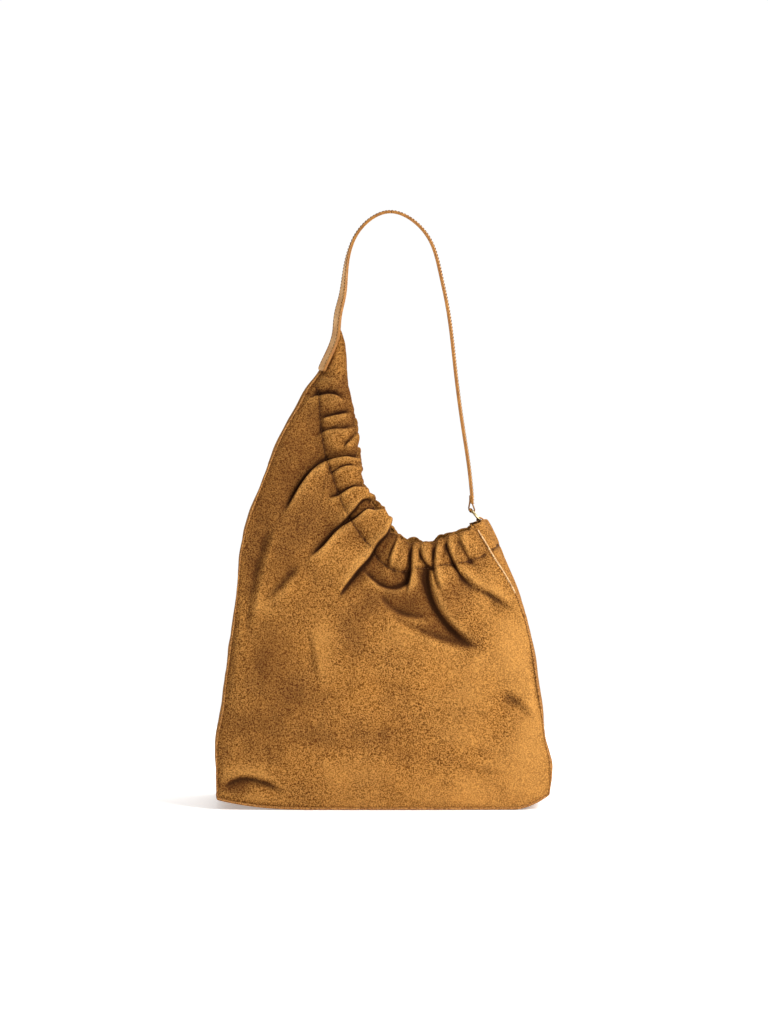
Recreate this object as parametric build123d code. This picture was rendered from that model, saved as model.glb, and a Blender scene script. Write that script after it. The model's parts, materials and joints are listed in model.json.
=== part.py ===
from build123d import *
import math
import os

# A slouching suede hobo bag: two gathered panels, two side gussets, a stiffened base, an elastic
# mouth casing, a lining with a hanging zip pocket, a magnetic snap and one leather shoulder strap.
# Millimetres, +Z up, the front faces -Y, the origin is on the floor under the middle of the base.

# ---- Overall sizes -------------------------------------------------------------------------
bag_width = 353.0          # widest, across both gussets
bag_depth = 144.0          # deepest, across both panels
peak_height = 498.0        # top of the left-hand peak that the strap is sewn to
strap_rise = 118.5         # from the top of the peak to the middle of the strap's crown

# ---- Sheet goods ---------------------------------------------------------------------------
suede_thickness = 1.5
lining_thickness = 0.6
elastic_thickness = 0.8
elastic_width = 20.0
facing_thickness = 1.2
casing_width = 30.0        # mouth edge to the casing's stitch line
casing_top_share = 0.955   # the casing ends at this share of the peak's height
elastic_start = 5.0        # mouth edge to the elastic
facing_start_edge = 1.0    # mouth edge to the facing
lining_tuck = 2.0          # from the facing's lower edge to the lining
layer_gap = 0.2            # between two layers that lie on each other
seam_gap = 0.35            # half of the room left at a seam between two panels
hem_width = 20.0           # turned-in top of the right gusset
hem_facing_drop = 1.0      # the hem's edge to its facing

# ---- Base ----------------------------------------------------------------------------------
base_thickness = 1.6
board_thickness = 2.0
board_margin = 1.0         # the board's edge to the walls
binding_width = 2.2
binding_height = 2.2
binding_lift = 0.5         # underside of the binding above the floor
binding_gap = 1.6          # binding to the flaring wall that it runs round

# ---- Strap and ring ------------------------------------------------------------------------
strap_width = 16.0
strap_layer_thickness = 1.4
strap_layer_gap = 0.1
strap_end_clearance = 0.4  # sewn end to the gusset under it
joint_gap = 0.3            # between the swinging strap and each of its sewn ends
joint_reach = 20.0         # how far past its joint each sewn end's side of the strap is cut
fold_stem_thickness = 4.6  # the strap and its folded-back end together
fold_stem_overlap = 4.0    # how far the stem is drawn past its joint before it is cut
fold_stem_reach = 1.0      # from the stem and the tab's tail to the ring's middle line
fold_chord_margin = 0.05
peak_joint_inset = 1.0     # the peak's outside to the strap's joint
peak_joint_rise = 11.0
ring_joint_inset = 1.4
ring_joint_rise = 19.0
ring_radius = 9.5          # to the middle of the wire
wire_radius = 1.4
ring_clearance = 0.35      # wire to the leather that is folded round it
fold_leather = 1.35        # leather round the outside of the ring's tunnel
ring_slant_deg = 50.0      # the ring's plane, down from level towards the gusset
ring_inset = 11.8          # the hem's outside to the ring's centre
ring_rise = 3.5            # the ring's centre above the hem
tab_width = 16.0
tab_tail_length = 26.0
tab_tail_thickness = 3.0
tab_tail_slope = (0.42, -0.91)
tab_clearance = 2.0        # the tab to the hem's facing on each side of it

# ---- Snap ----------------------------------------------------------------------------------
snap_radius = 8.5
snap_thickness = 2.2
snap_stud_radius = 2.8
snap_stud_height = 1.6
snap_fit = 0.3             # stud to the walls of its hole
snap_seat_gap = 0.3        # back of each half to the facing it is fixed to
snap_below_edge = 16.0

# ---- Hanging zip pocket --------------------------------------------------------------------
pocket_width = 112.0
pocket_height = 96.0
pocket_cloth = 0.6
pocket_inside = 1.4        # room between its two layers when it hangs flat
pocket_wall_gap = 2.0      # behind it, to the facing
zip_below_top = 16.0
zip_length = 88.0
zip_slot_height = 8.0
tape_thickness = 0.5
tape_height = 9.0
coil_size = 1.5
coil_split = 1.4           # between the two rows of the coil
slider_length = 8.0
slider_height = 7.0
slider_plate = 0.8
slider_clearance = 0.3
slider_bridge = 0.8
ear_size = 3.4
ear_thickness = 0.9
ear_gap = 0.3              # each ear to the side of the pull
stop_length = 1.5
stop_height = 4.4
stop_margin = 0.3          # outer end of each stop to the end of the slot
coil_margin = 2.0          # end of the coil to the end of the slot
slider_margin = 3.0        # parked slider to the end of the slot
tape_overrun = 5.0         # tape past each end of the slot
tape_gap = 0.1             # the pocket's cloth to the tapes behind it
cut_margin = 1.0           # how far a cut runs past what it cuts
bridge_margin = 1.0        # the slider's ends to its bridge
slider_lift = 0.1          # the slider's walls to the tapes
stop_stand = 0.4           # how far the stops stand over the coil
pull_pin_radius = 0.6
pull_bore_clearance = 0.05
pull_length = 22.0
pull_width = 5.0
pull_thickness = 1.3
pull_eye_wall = 0.75       # metal round the pull's bore
pull_corner_radius = 1.8
pull_swing_deg = 165.0

# ---- Body shape ----------------------------------------------------------------------------
# Level sections: height as a share of the peak's, the left and right corner seams as shares of
# the half width, then the half depth at the left seam, the middle and the right seam as shares
# of half the depth, and how far each gusset stands out past its seams, in millimetres. Past the
# hem the right-hand figures only carry the panels' surface on, and the mouth is cut through them.
SECTIONS = [
    (0.000, 0.952, 0.952, 0.86, 0.90, 0.86, 3.5, 3.5),
    (0.082, 0.970, 0.977, 0.88, 0.98, 0.88, 4.0, 4.0),
    (0.209, 0.929, 0.924, 0.84, 1.00, 0.84, 4.0, 4.0),
    (0.341, 0.884, 0.862, 0.76, 0.91, 0.76, 3.5, 4.0),
    (0.460, 0.847, 0.759, 0.66, 0.76, 0.64, 3.5, 6.0),
    (0.536, 0.820, 0.618, 0.59, 0.62, 0.52, 3.5, 15.0),
    (0.594, 0.782, 0.493, 0.53, 0.53, 0.42, 3.5, 23.0),
    (0.687, 0.691, 0.283, 0.44, 0.44, 0.34, 3.5, 23.0),
    (0.803, 0.538, 0.057, 0.31, 0.33, 0.26, 3.5, 18.0),
    (0.904, 0.351, -0.085, 0.19, 0.21, 0.18, 3.0, 12.0),
    (0.954, 0.304, -0.140, 0.15, 0.16, 0.15, 2.0, 8.0),
    (1.000, 0.278, -0.198, 0.12, 0.125, 0.12, 1.5, 6.0),
]
HEM_SECTION = 6            # the right gusset's hem is at this section's height
LINING_TOP_SECTION = 8     # the left lining ends where the mouth facing takes over

# The mouth's edge seen from the front, from the peak down and across to the right gusset:
# shares of the half width and of the peak's height.
MOUTH = [
    (-0.249, 1.010), (-0.187, 0.847), (-0.136, 0.733), (-0.057, 0.637),
    (0.079, 0.564), (0.238, 0.546), (0.408, 0.564), (0.530, 0.588), (0.720, 0.615),
]

SNAP_AT = 5                # the mouth point, its lowest, that the snap closes

# The strap's line between its two joints: shares of the way across from the peak's joint to
# the ring's, and of the way up from the ring's joint to the crown.
ARCH = [
    (0.032, 0.706), (0.060, 0.791), (0.105, 0.876), (0.204, 0.954), (0.393, 1.000),
    (0.582, 0.961), (0.695, 0.893), (0.765, 0.791), (0.821, 0.666), (0.877, 0.452),
    (0.933, 0.248), (0.982, 0.088),
]

half_depth = bag_depth / 2
FAR = 2 * peak_height      # long enough to cut right through the bag


def row(section):
    """Turns one line of SECTIONS into millimetres."""
    z, left, right, near, middle, far, left_bulge, right_bulge = section
    return dict(
        z=z * peak_height,
        left=-left * bag_width / 2,
        right=right * bag_width / 2,
        depth_left=near * half_depth,
        depth_middle=middle * half_depth,
        depth_right=far * half_depth,
        bulge_left=left_bulge,
        bulge_right=right_bulge,
    )


ROWS = [row(section) for section in SECTIONS]


def ring_wire(z, outer, inner):
    """Closes an outer and an inner three-point arc at one height into a wire."""
    a, b, c = [Vector(x, y, z) for x, y in outer]
    d, e, f = [Vector(x, y, z) for x, y in inner]
    return Wire([
        ThreePointArc(a, b, c).edge(), Line(c, f).edge(), ThreePointArc(f, e, d).edge(), Line(d, a).edge(),
    ])


def front_arc(r, inset):
    """Plan arc of the front panel at a given depth into the wall."""
    x_left = r["left"] + inset + seam_gap
    x_right = r["right"] - inset - seam_gap
    return [
        (x_left, -(r["depth_left"] - inset)),
        ((x_left + x_right) / 2, -(r["depth_middle"] - inset)),
        (x_right, -(r["depth_right"] - inset)),
    ]


def side_arc(r, inset, side):
    """Plan arc of a gusset at a given depth into the wall; side is 'left' or 'right'."""
    out = -1 if side == "left" else 1
    x = r[side] - out * inset
    y = r["depth_" + side] - inset - seam_gap
    bulge = r["bulge_" + side]
    return [(x, -y), (x + out * bulge, 0), (x, y)]


def loft_layer(arc, start, thickness, bottom, top=None):
    """A curved sheet through every row, from start to start + thickness into the wall."""
    wires = [ring_wire(r["z"], arc(r, start), arc(r, start + thickness)) for r in ROWS]
    sheet = Solid.make_loft(wires, False)
    return largest(sheet & level_band(bottom, top or FAR))


def left_arc(r, inset):
    """Plan arc of the left gusset at a given depth into the wall."""
    return side_arc(r, inset, "left")


def right_arc(r, inset):
    """Plan arc of the right gusset at a given depth into the wall."""
    return side_arc(r, inset, "right")


def mouth_curve():
    """The mouth's edge as one curve in the XZ plane."""
    points = [Vector(x * bag_width / 2, 0, z * peak_height) for x, z in MOUTH]
    return Spline(points)


def beyond_mouth(inset):
    """Everything past a line that runs inset millimetres inside the mouth's edge."""
    curve = mouth_curve()
    steps = 14
    line = []
    for k in range(steps + 1):
        place = curve @ (k / steps)
        along = curve % (k / steps)
        line.append(place + Vector(along.Z, 0, -along.X) * inset)
    edge = Spline(line)
    first, last = line[0], line[-1]
    corners = [Vector(FAR, 0, last.Z), Vector(FAR, 0, FAR), Vector(first.X, 0, FAR)]
    outline = Wire([
        edge.edge(), Line(last, corners[0]).edge(), Line(corners[0], corners[1]).edge(),
        Line(corners[1], corners[2]).edge(), Line(corners[2], first).edge(),
    ])
    face = Face(outline)
    return extrude(face, bag_depth, dir=(0, 1, 0), both=True)


def level_band(low, high):
    """A block across the whole bag between two heights."""
    return Pos(0, 0, (low + high) / 2) * Box(FAR, FAR, high - low)


def largest(shape):
    """The biggest solid of a cut, as a plain solid."""
    return max(shape.solids(), key=lambda s: s.volume)


# ---- Outer panels --------------------------------------------------------------------------
wall_bottom = base_thickness + layer_gap
hem_z = ROWS[HEM_SECTION]["z"]

front_panel = largest(loft_layer(front_arc, 0, suede_thickness, wall_bottom) - beyond_mouth(0))
left_gusset = loft_layer(left_arc, 0, suede_thickness, wall_bottom)
right_gusset = loft_layer(right_arc, 0, suede_thickness, wall_bottom, hem_z)


# ---- Base ----------------------------------------------------------------------------------
def plan_face(inset):
    """The base's outline, moved inward by inset (outward if negative)."""
    r = ROWS[0]
    front = [
        (r["left"] + inset, -(r["depth_left"] - inset)),
        (0, -(r["depth_middle"] - inset)),
        (r["right"] - inset, -(r["depth_right"] - inset)),
    ]
    back = [(x, -y) for x, y in reversed(front)]
    right_tip = (r["right"] - inset + r["bulge_right"], 0)
    left_tip = (r["left"] + inset - r["bulge_left"], 0)
    return make_face(Wire([
        ThreePointArc(*front).edge(), ThreePointArc(front[2], right_tip, back[0]).edge(),
        ThreePointArc(*back).edge(), ThreePointArc(back[2], left_tip, front[0]).edge(),
    ]))


def plan_slab(inset, bottom, height):
    """A flat slab of the base's outline."""
    return largest(extrude(Pos(0, 0, bottom) * plan_face(inset), height, dir=(0, 0, 1)))


inner_face = suede_thickness + layer_gap
base_panel = plan_slab(0, 0, base_thickness)
base_board = plan_slab(inner_face + board_margin, wall_bottom, board_thickness)
lining_floor = wall_bottom + board_thickness + layer_gap
base_lining = plan_slab(inner_face, lining_floor, lining_thickness)
lining_bottom = lining_floor + lining_thickness + layer_gap
base_binding = largest(
    plan_slab(-binding_gap - binding_width, binding_lift, binding_height)
    - plan_slab(-binding_gap, binding_lift - cut_margin, binding_height + 2 * cut_margin)
)

# ---- Lining --------------------------------------------------------------------------------
facing_start = inner_face + elastic_thickness + layer_gap
lining_edge = casing_width + lining_tuck
front_lining = largest(
    loft_layer(front_arc, inner_face, lining_thickness, lining_bottom) - beyond_mouth(lining_edge))
left_lining = loft_layer(
    left_arc, inner_face, lining_thickness, lining_bottom, ROWS[LINING_TOP_SECTION]["z"])
right_lining = loft_layer(
    right_arc, inner_face, lining_thickness, lining_bottom, hem_z - hem_width - lining_tuck)

# ---- Mouth casing: an elastic between the panel and its facing -----------------------------
casing_bottom = hem_z - 2 * casing_width
casing_top = peak_height * casing_top_share
front_elastic = largest(
    (loft_layer(front_arc, inner_face, elastic_thickness, casing_bottom, casing_top)
     - beyond_mouth(elastic_start)) & beyond_mouth(elastic_start + elastic_width))
front_facing = largest(
    (loft_layer(front_arc, facing_start, facing_thickness, casing_bottom, casing_top)
     - beyond_mouth(facing_start_edge)) & beyond_mouth(casing_width))
hem_facing_sheet = loft_layer(
    right_arc, inner_face, facing_thickness, hem_z - hem_width, hem_z - hem_facing_drop)
tab_room = Box(bag_width, tab_width + 2 * tab_clearance, FAR)
hem_facing = hem_facing_sheet - tab_room

# ---- Ring at the right-hand end ------------------------------------------------------------
hem = ROWS[HEM_SECTION]
hem_outside = hem["right"] + hem["bulge_right"]
slant = math.radians(ring_slant_deg)
to_tab = Vector(math.cos(slant), 0, -math.sin(slant))
across = Vector(math.sin(slant), 0, math.cos(slant))
ring_centre = Vector(hem_outside - ring_inset, 0, hem_z + ring_rise)
ring_plane = Plane(origin=ring_centre, x_dir=(0, 1, 0), z_dir=across)
ring = ring_plane * Torus(ring_radius, wire_radius)
ring_tunnel = ring_plane * Torus(ring_radius, wire_radius + ring_clearance)
fold_radius = wire_radius + ring_clearance + fold_leather
chord = math.sqrt(ring_radius**2 - (strap_width / 2)**2)


def slab_between(start, end, thickness, width):
    """A flat strip of leather from one point of the XZ plane to another, across the bag."""
    along = (end - start).normalized()
    side = Vector(along.Z, 0, -along.X) * (thickness / 2)
    corners = [start + side, end + side, end - side, start - side]
    return extrude(Face(Wire.make_polygon(corners, close=True)), width / 2, dir=(0, 1, 0), both=True)


def bar(centre, radius, width):
    """A round bar along Y."""
    return Location(Plane(origin=centre, z_dir=(0, 1, 0))) * Cylinder(radius, width)


def ring_fold(direction, width):
    """A strap end folded round the ring, filled, with a free tunnel for the wire."""
    near = ring_centre + direction * (chord + fold_chord_margin)
    far = ring_centre + direction * ring_radius
    body = slab_between(near, far, 2 * fold_radius, width)
    return body + bar(near, fold_radius, width) + bar(far, fold_radius, width)


tab_loop_end = ring_centre + to_tab * (ring_radius + fold_stem_reach)
tab_tail_end = tab_loop_end + Vector(tab_tail_slope[0], 0, tab_tail_slope[1]) * tab_tail_length
tab_tail = slab_between(tab_loop_end, tab_tail_end, tab_tail_thickness, tab_width)
tab_solid = ring_fold(to_tab, tab_width) + tab_tail
ring_tab = largest(tab_solid - ring_tunnel)

# ---- Strap ---------------------------------------------------------------------------------
peak = ROWS[-1]
peak_outside = peak["left"] - peak["bulge_left"]
layer_middle = strap_layer_thickness + strap_layer_gap / 2
stand_off = strap_end_clearance + layer_middle
peak_joint = Vector(peak_outside + peak_joint_inset, 0, peak_height + peak_joint_rise)
crown_z = peak_height + strap_rise
ring_joint_x = ring_centre.X - to_tab.X * ring_radius + ring_joint_inset
ring_joint = Vector(ring_joint_x, 0, ring_centre.Z + ring_joint_rise)
swing_axis = (peak_joint - ring_joint).normalized()


def sewn_end_points():
    """The strap's line up the outside of the left gusset to the peak's joint."""
    points = []
    for r in ROWS[-3:]:
        points.append(Vector(r["left"] - r["bulge_left"] - stand_off, 0, r["z"]))
    return points + [peak_joint]


def arch_points():
    """The strap's line between its two joints."""
    points = []
    for across_share, up_share in ARCH:
        x = peak_joint.X + across_share * (ring_joint.X - peak_joint.X)
        z = ring_joint.Z + up_share * (crown_z - ring_joint.Z)
        points.append(Vector(x, 0, z))
    return points


strap_line = Spline(sewn_end_points() + arch_points() + [ring_joint])


def strap_layer(inner, outer):
    """A strip along the strap's line, from inner to outer millimetres off it, across the bag."""
    steps = 40
    inside, outside = [], []
    for k in range(steps + 1):
        place = strap_line @ (k / steps)
        along = strap_line % (k / steps)
        out = Vector(-along.Z, 0, along.X)
        inside.append(place + out * inner)
        outside.append(place + out * outer)
    outline = Wire([
        Spline(inside).edge(), Line(inside[-1], outside[-1]).edge(),
        Spline(outside).edge(), Line(outside[0], inside[0]).edge(),
    ])
    return extrude(Face(outline), strap_width / 2, dir=(0, 1, 0), both=True)


def half_space(point, direction):
    """A big block on the far side of a plane through point, facing direction."""
    return Location(Plane(origin=point, z_dir=direction)) * Pos(0, 0, FAR / 2) * Box(FAR, FAR, FAR)


def sewn_side(joint, out, gap):
    """What lies on the sewn side of a strap joint, kept to that end of the bag.

    out is -1 for the peak's end and 1 for the ring's, and gap moves the cut along the axis.
    """
    below = half_space(joint + swing_axis * gap, swing_axis * -1)
    this_end = Pos(joint.X + out * (FAR / 2 - joint_reach), 0, 0) * Box(FAR, FAR, 2 * FAR)
    return below & this_end


half_gap = strap_layer_gap / 2
leather_strip = strap_layer(half_gap, half_gap + strap_layer_thickness)
backing_strip = strap_layer(-half_gap - strap_layer_thickness, -half_gap)
sewn_ends = sewn_side(peak_joint, -1, joint_gap / 2) + sewn_side(ring_joint, 1, joint_gap / 2)
peak_side = sewn_side(peak_joint, -1, -joint_gap / 2)
strap_leather = largest(leather_strip - sewn_ends)
strap_backing = largest(backing_strip - sewn_ends)
strap_peak_end = Compound([largest(leather_strip & peak_side), largest(backing_strip & peak_side)])
fold_start = ring_centre - to_tab * (ring_radius + fold_stem_reach)
fold_top = ring_joint + swing_axis * fold_stem_overlap
fold_stem = slab_between(fold_start, fold_top, fold_stem_thickness, strap_width)
fold_and_stem = ring_fold(to_tab * -1, strap_width) + fold_stem
strap_ring_end = largest((fold_and_stem & sewn_side(ring_joint, 1, -joint_gap / 2)) - ring_tunnel)

# ---- Magnetic snap on the two facings ------------------------------------------------------
snap_point = Vector(MOUTH[SNAP_AT][0] * bag_width / 2, 0, MOUTH[SNAP_AT][1] * peak_height)
snap_z = snap_point.Z - snap_below_edge
snap_probe = Pos(snap_point.X, 0, snap_z) * Box(2 * snap_radius, FAR, 2 * snap_radius)
facing_near_snap = (front_facing & snap_probe).bounding_box()
snap_back_y = facing_near_snap.max.Y + snap_seat_gap


def snap_disc(radius, start, height):
    """A disc on the snap's line, from start to start + height behind the front facing."""
    place = Plane(origin=(snap_point.X, snap_back_y + start, snap_z), z_dir=(0, 1, 0))
    return extrude(place * Circle(radius), height)


snap_socket = snap_disc(snap_radius, 0, snap_thickness) - snap_disc(
    snap_stud_radius + snap_fit, snap_thickness - snap_stud_height, snap_stud_height + cut_margin)
snap_stud_front = snap_disc(snap_radius, 0, snap_thickness) + snap_disc(
    snap_stud_radius, snap_thickness, snap_stud_height)
snap_stud = mirror(snap_stud_front, about=Plane.XZ)

# ---- Hanging zip pocket --------------------------------------------------------------------
pocket_x = snap_point.X
pocket_top = snap_point.Z - casing_width - layer_gap
pocket_probe = Pos(pocket_x, 0, pocket_top) * Box(pocket_width, FAR, casing_width)
facing_near_pocket = (mirror(front_facing, about=Plane.XZ) & pocket_probe).bounding_box()
pocket_back = facing_near_pocket.min.Y - pocket_wall_gap
pocket_depth = 2 * pocket_cloth + pocket_inside
pocket_front = pocket_back - pocket_depth
zip_z = pocket_top - zip_below_top
zip_start = pocket_x - zip_length / 2


def block(x, y, z):
    """A block between two X, two Y and two Z places."""
    size = [x[1] - x[0], y[1] - y[0], z[1] - z[0]]
    return Pos((x[0] + x[1]) / 2, (y[0] + y[1]) / 2, (z[0] + z[1]) / 2) * Box(*size)


pocket_x_range = (pocket_x - pocket_width / 2, pocket_x + pocket_width / 2)
pocket_z_range = (pocket_top - pocket_height, pocket_top)
pocket_hollow = block(
    (pocket_x_range[0] + pocket_cloth, pocket_x_range[1] - pocket_cloth),
    (pocket_front + pocket_cloth, pocket_back - pocket_cloth),
    (pocket_z_range[0] + pocket_cloth, pocket_z_range[1] - pocket_cloth))
zip_slot = block(
    (zip_start, zip_start + zip_length), (pocket_front - cut_margin, pocket_front + pocket_cloth + tape_gap),
    (zip_z - zip_slot_height / 2, zip_z + zip_slot_height / 2))
inner_pocket = block(pocket_x_range, (pocket_front, pocket_back), pocket_z_range) - pocket_hollow - zip_slot

tape_front = pocket_front + pocket_cloth + tape_gap
tape_y = (tape_front, tape_front + tape_thickness)
coil_y = (tape_y[0] - layer_gap / 2 - coil_size, tape_y[0] - layer_gap / 2)
tape_x = (zip_start - tape_overrun, zip_start + zip_length + tape_overrun)


def zip_pair(x, y, gap, height):
    """Two level bars, one each side of the zip's middle line."""
    upper = block(x, y, (zip_z + gap / 2, zip_z + gap / 2 + height))
    lower = block(x, y, (zip_z - gap / 2 - height, zip_z - gap / 2))
    return Compound([upper.solid(), lower.solid()])


zip_tapes = zip_pair(tape_x, tape_y, coil_split, tape_height)
zip_end = zip_start + zip_length
coil_x = (zip_start + coil_margin, zip_end - coil_margin)
zip_coils = zip_pair(coil_x, coil_y, coil_split, coil_size)
stop_y = (coil_y[0] - stop_stand, coil_y[1])
stop_z = (zip_z - stop_height / 2, zip_z + stop_height / 2)
zip_stops = Compound([
    block((zip_start + stop_margin, zip_start + stop_margin + stop_length), stop_y, stop_z).solid(),
    block((zip_end - stop_margin - stop_length, zip_end - stop_margin), stop_y, stop_z).solid(),
])

slider_x = (zip_start + slider_margin, zip_start + slider_margin + slider_length)
slider_z = (zip_z - slider_height / 2, zip_z + slider_height / 2)
slider_front_y = coil_y[0] - slider_clearance
slider_walls = coil_split / 2 + coil_size + slider_clearance
slider_body = block(slider_x, (slider_front_y - slider_plate, slider_front_y), slider_z)
slider_back_y = coil_y[1] - slider_lift
slider_bridge_block = block(
    (slider_x[0] + bridge_margin, slider_x[1] - bridge_margin), (slider_front_y, slider_back_y),
    (zip_z - slider_bridge / 2, zip_z + slider_bridge / 2))
slider_body += slider_bridge_block
for out in (-1, 1):
    wall = block(
        slider_x, (slider_front_y, slider_back_y),
        sorted((zip_z + out * slider_walls, zip_z + out * slider_height / 2)))
    slider_body += wall
pull_x = (slider_x[0] + slider_x[1]) / 2
pin_y = slider_front_y - slider_plate - ear_size / 2
for out in (-1, 1):
    ear_inner = pull_width / 2 + ear_gap
    ear_x = sorted((pull_x + out * ear_inner, pull_x + out * (ear_inner + ear_thickness)))
    ear_y = (pin_y - ear_size / 2, slider_front_y - slider_plate)
    slider_body += block(ear_x, ear_y, (zip_z - ear_size / 2, zip_z + ear_size / 2))
pin_plane = Plane(origin=(pull_x, pin_y, zip_z), z_dir=(1, 0, 0))
pull_pin = Location(pin_plane) * Cylinder(pull_pin_radius, pull_width + 2 * ear_gap + ear_thickness)
zip_slider = largest(slider_body + pull_pin)

pull_back = pin_y + pull_thickness / 2
pull_eye = Location(pin_plane) * Cylinder(pull_pin_radius + pull_eye_wall, pull_width)
pull_tab = block(
    (pull_x - pull_width / 2, pull_x + pull_width / 2), (pin_y - pull_thickness / 2, pull_back),
    (zip_z - pull_length, zip_z))
pull_bore = Location(pin_plane) * Cylinder(
    pull_pin_radius + pull_bore_clearance, pull_width + 2 * cut_margin)
pull_blank = pull_tab + pull_eye
tip_edges = pull_blank.edges().filter_by(Axis.Y).group_by(Axis.Z)[0]
zip_pull = largest(fillet(tip_edges, pull_corner_radius) - pull_bore)
slider_travel = zip_length - 2 * slider_margin - slider_length

# ---- Write every node ----------------------------------------------------------------------
back = Plane.XZ
NODES = {
    "front_panel": front_panel,
    "back_panel": mirror(front_panel, about=back),
    "left_gusset": left_gusset,
    "right_gusset": right_gusset,
    "base_panel": base_panel,
    "base_board": base_board,
    "base_edge_binding": base_binding,
    "front_lining": front_lining,
    "back_lining": mirror(front_lining, about=back),
    "left_lining": left_lining,
    "right_lining": right_lining,
    "base_lining": base_lining,
    "front_mouth_elastic": front_elastic,
    "back_mouth_elastic": mirror(front_elastic, about=back),
    "front_mouth_facing": front_facing,
    "back_mouth_facing": mirror(front_facing, about=back),
    "gusset_hem_facing": hem_facing,
    "ring": ring,
    "ring_tab": ring_tab,
    "strap_leather": strap_leather,
    "strap_backing": strap_backing,
    "strap_peak_end": strap_peak_end,
    "strap_ring_end": strap_ring_end,
    "snap_socket": snap_socket,
    "snap_stud": snap_stud,
    "inner_pocket": inner_pocket,
    "zip_tapes": zip_tapes,
    "zip_coils": zip_coils,
    "zip_stops": zip_stops,
    "zip_slider": zip_slider,
    "zip_pull": zip_pull,
}

os.makedirs("parts", exist_ok=True)
for node, shape in NODES.items():
    export_step(shape, os.path.join("parts", node + ".step"))

print("strap joint at the peak:", peak_joint, "at the ring:", ring_joint, "axis:", swing_axis)
print("ring centre:", ring_centre, "axis:", across)
print("pull pin:", (pull_x, pin_y, zip_z), "slider travel:", slider_travel, "swing:", pull_swing_deg)
print("pocket:", pocket_x_range, (pocket_front, pocket_back), pocket_z_range)
print("snap:", snap_point.X, snap_back_y, snap_z)
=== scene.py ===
"""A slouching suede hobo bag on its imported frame: shell, lining, casing, strap, ring, snap and pocket."""
import json
import logging
import math
from dataclasses import dataclass, field
from enum import Enum
from typing import Any, Optional, Sequence

import bpy
import numpy as np
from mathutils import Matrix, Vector

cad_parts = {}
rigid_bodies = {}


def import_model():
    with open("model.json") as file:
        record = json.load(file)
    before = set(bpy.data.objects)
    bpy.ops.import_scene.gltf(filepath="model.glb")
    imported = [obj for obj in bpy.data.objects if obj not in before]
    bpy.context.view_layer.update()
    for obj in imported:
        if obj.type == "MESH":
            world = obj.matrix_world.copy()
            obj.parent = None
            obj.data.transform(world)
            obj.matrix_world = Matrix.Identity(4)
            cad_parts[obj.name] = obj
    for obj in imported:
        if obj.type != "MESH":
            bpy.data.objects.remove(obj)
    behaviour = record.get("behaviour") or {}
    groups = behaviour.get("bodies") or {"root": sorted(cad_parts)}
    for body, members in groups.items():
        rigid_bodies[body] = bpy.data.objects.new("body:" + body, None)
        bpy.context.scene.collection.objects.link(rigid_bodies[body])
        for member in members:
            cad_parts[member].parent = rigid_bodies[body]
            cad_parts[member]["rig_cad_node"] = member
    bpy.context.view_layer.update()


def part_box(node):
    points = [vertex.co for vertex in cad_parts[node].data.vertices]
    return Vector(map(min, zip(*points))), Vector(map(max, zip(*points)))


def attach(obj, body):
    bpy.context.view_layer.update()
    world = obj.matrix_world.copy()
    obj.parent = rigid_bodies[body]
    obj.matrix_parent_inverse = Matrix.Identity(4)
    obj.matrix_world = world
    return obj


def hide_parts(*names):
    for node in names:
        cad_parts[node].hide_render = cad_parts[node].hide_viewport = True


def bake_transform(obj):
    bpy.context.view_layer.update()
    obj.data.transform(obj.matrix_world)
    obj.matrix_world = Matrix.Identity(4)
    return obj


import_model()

LOG = logging.getLogger("hobo_bag")
MM = 0.001
FINER_LAYERS = 0.55         # how strongly each finer layer of a noise pattern counts
Array = np.ndarray
Line2 = tuple[tuple[float, float], ...]


# ---- Small shared tools --------------------------------------------------------------------
def linear(colour: str) -> tuple[float, float, float, float]:
    """Turn an sRGB hex colour into linear red, green, blue and alpha.

    Args:
        colour: six hex digits, with or without the hash.

    Returns:
        The linear colour with an alpha of 1.
    """
    digits = colour.lstrip("#")
    shares = [int(digits[k:k + 2], 16) / 255 for k in (0, 2, 4)]
    low_end, slope, offset, power = 0.04045, 12.92, 0.055, 2.4
    channels = [c / slope if c <= low_end else ((c + offset) / (1 + offset)) ** power for c in shares]
    return (channels[0], channels[1], channels[2], 1.0)


def ease(low: float, high: float, value: Array) -> Array:
    """Rise smoothly from 0 at low to 1 at high."""
    share = np.clip((value - low) / (high - low), 0.0, 1.0)
    return share * share * (3 - 2 * share)


def bell(value: Array, width: float) -> Array:
    """A rounded hump, 1 at zero and falling off over width."""
    return np.exp(-((value / width) ** 2))


def unit(vectors: Array) -> Array:
    """Scale vectors on the last axis to length 1."""
    return vectors / np.maximum(np.linalg.norm(vectors, axis=-1, keepdims=True), 1e-9)


def blurred(field_2d: Array, reach: int) -> Array:
    """Average a grid of values over a square neighbourhood, twice, for a soft result.

    Args:
        field_2d: the values.
        reach: cells on each side that count.

    Returns:
        The softened values, on the same grid.
    """
    result = field_2d
    kernel = np.ones(2 * reach + 1) / (2 * reach + 1)
    for _ in range(2):
        for axis in (0, 1):
            pad = [(0, 0), (0, 0)]
            pad[axis] = (reach, reach)
            padded = np.pad(result, pad, mode="edge")
            result = np.apply_along_axis(lambda line: np.convolve(line, kernel, mode="valid"), axis, padded)
    return result


def lowest_near(field_2d: Array, reach: int) -> Array:
    """The lowest value within reach cells of each cell of a grid."""
    result = field_2d
    for axis in (0, 1):
        pad = [(0, 0), (0, 0)]
        pad[axis] = (reach, reach)
        padded = np.pad(result, pad, mode="edge")
        result = np.lib.stride_tricks.sliding_window_view(padded, 2 * reach + 1, axis=axis).min(axis=-1)
    return result


def run_along(points: Array) -> Array:
    """How far along a line of points each of them is, from 0 at the first."""
    return np.concatenate([[0.0], np.cumsum(np.linalg.norm(np.diff(points, axis=0), axis=1))])


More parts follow.
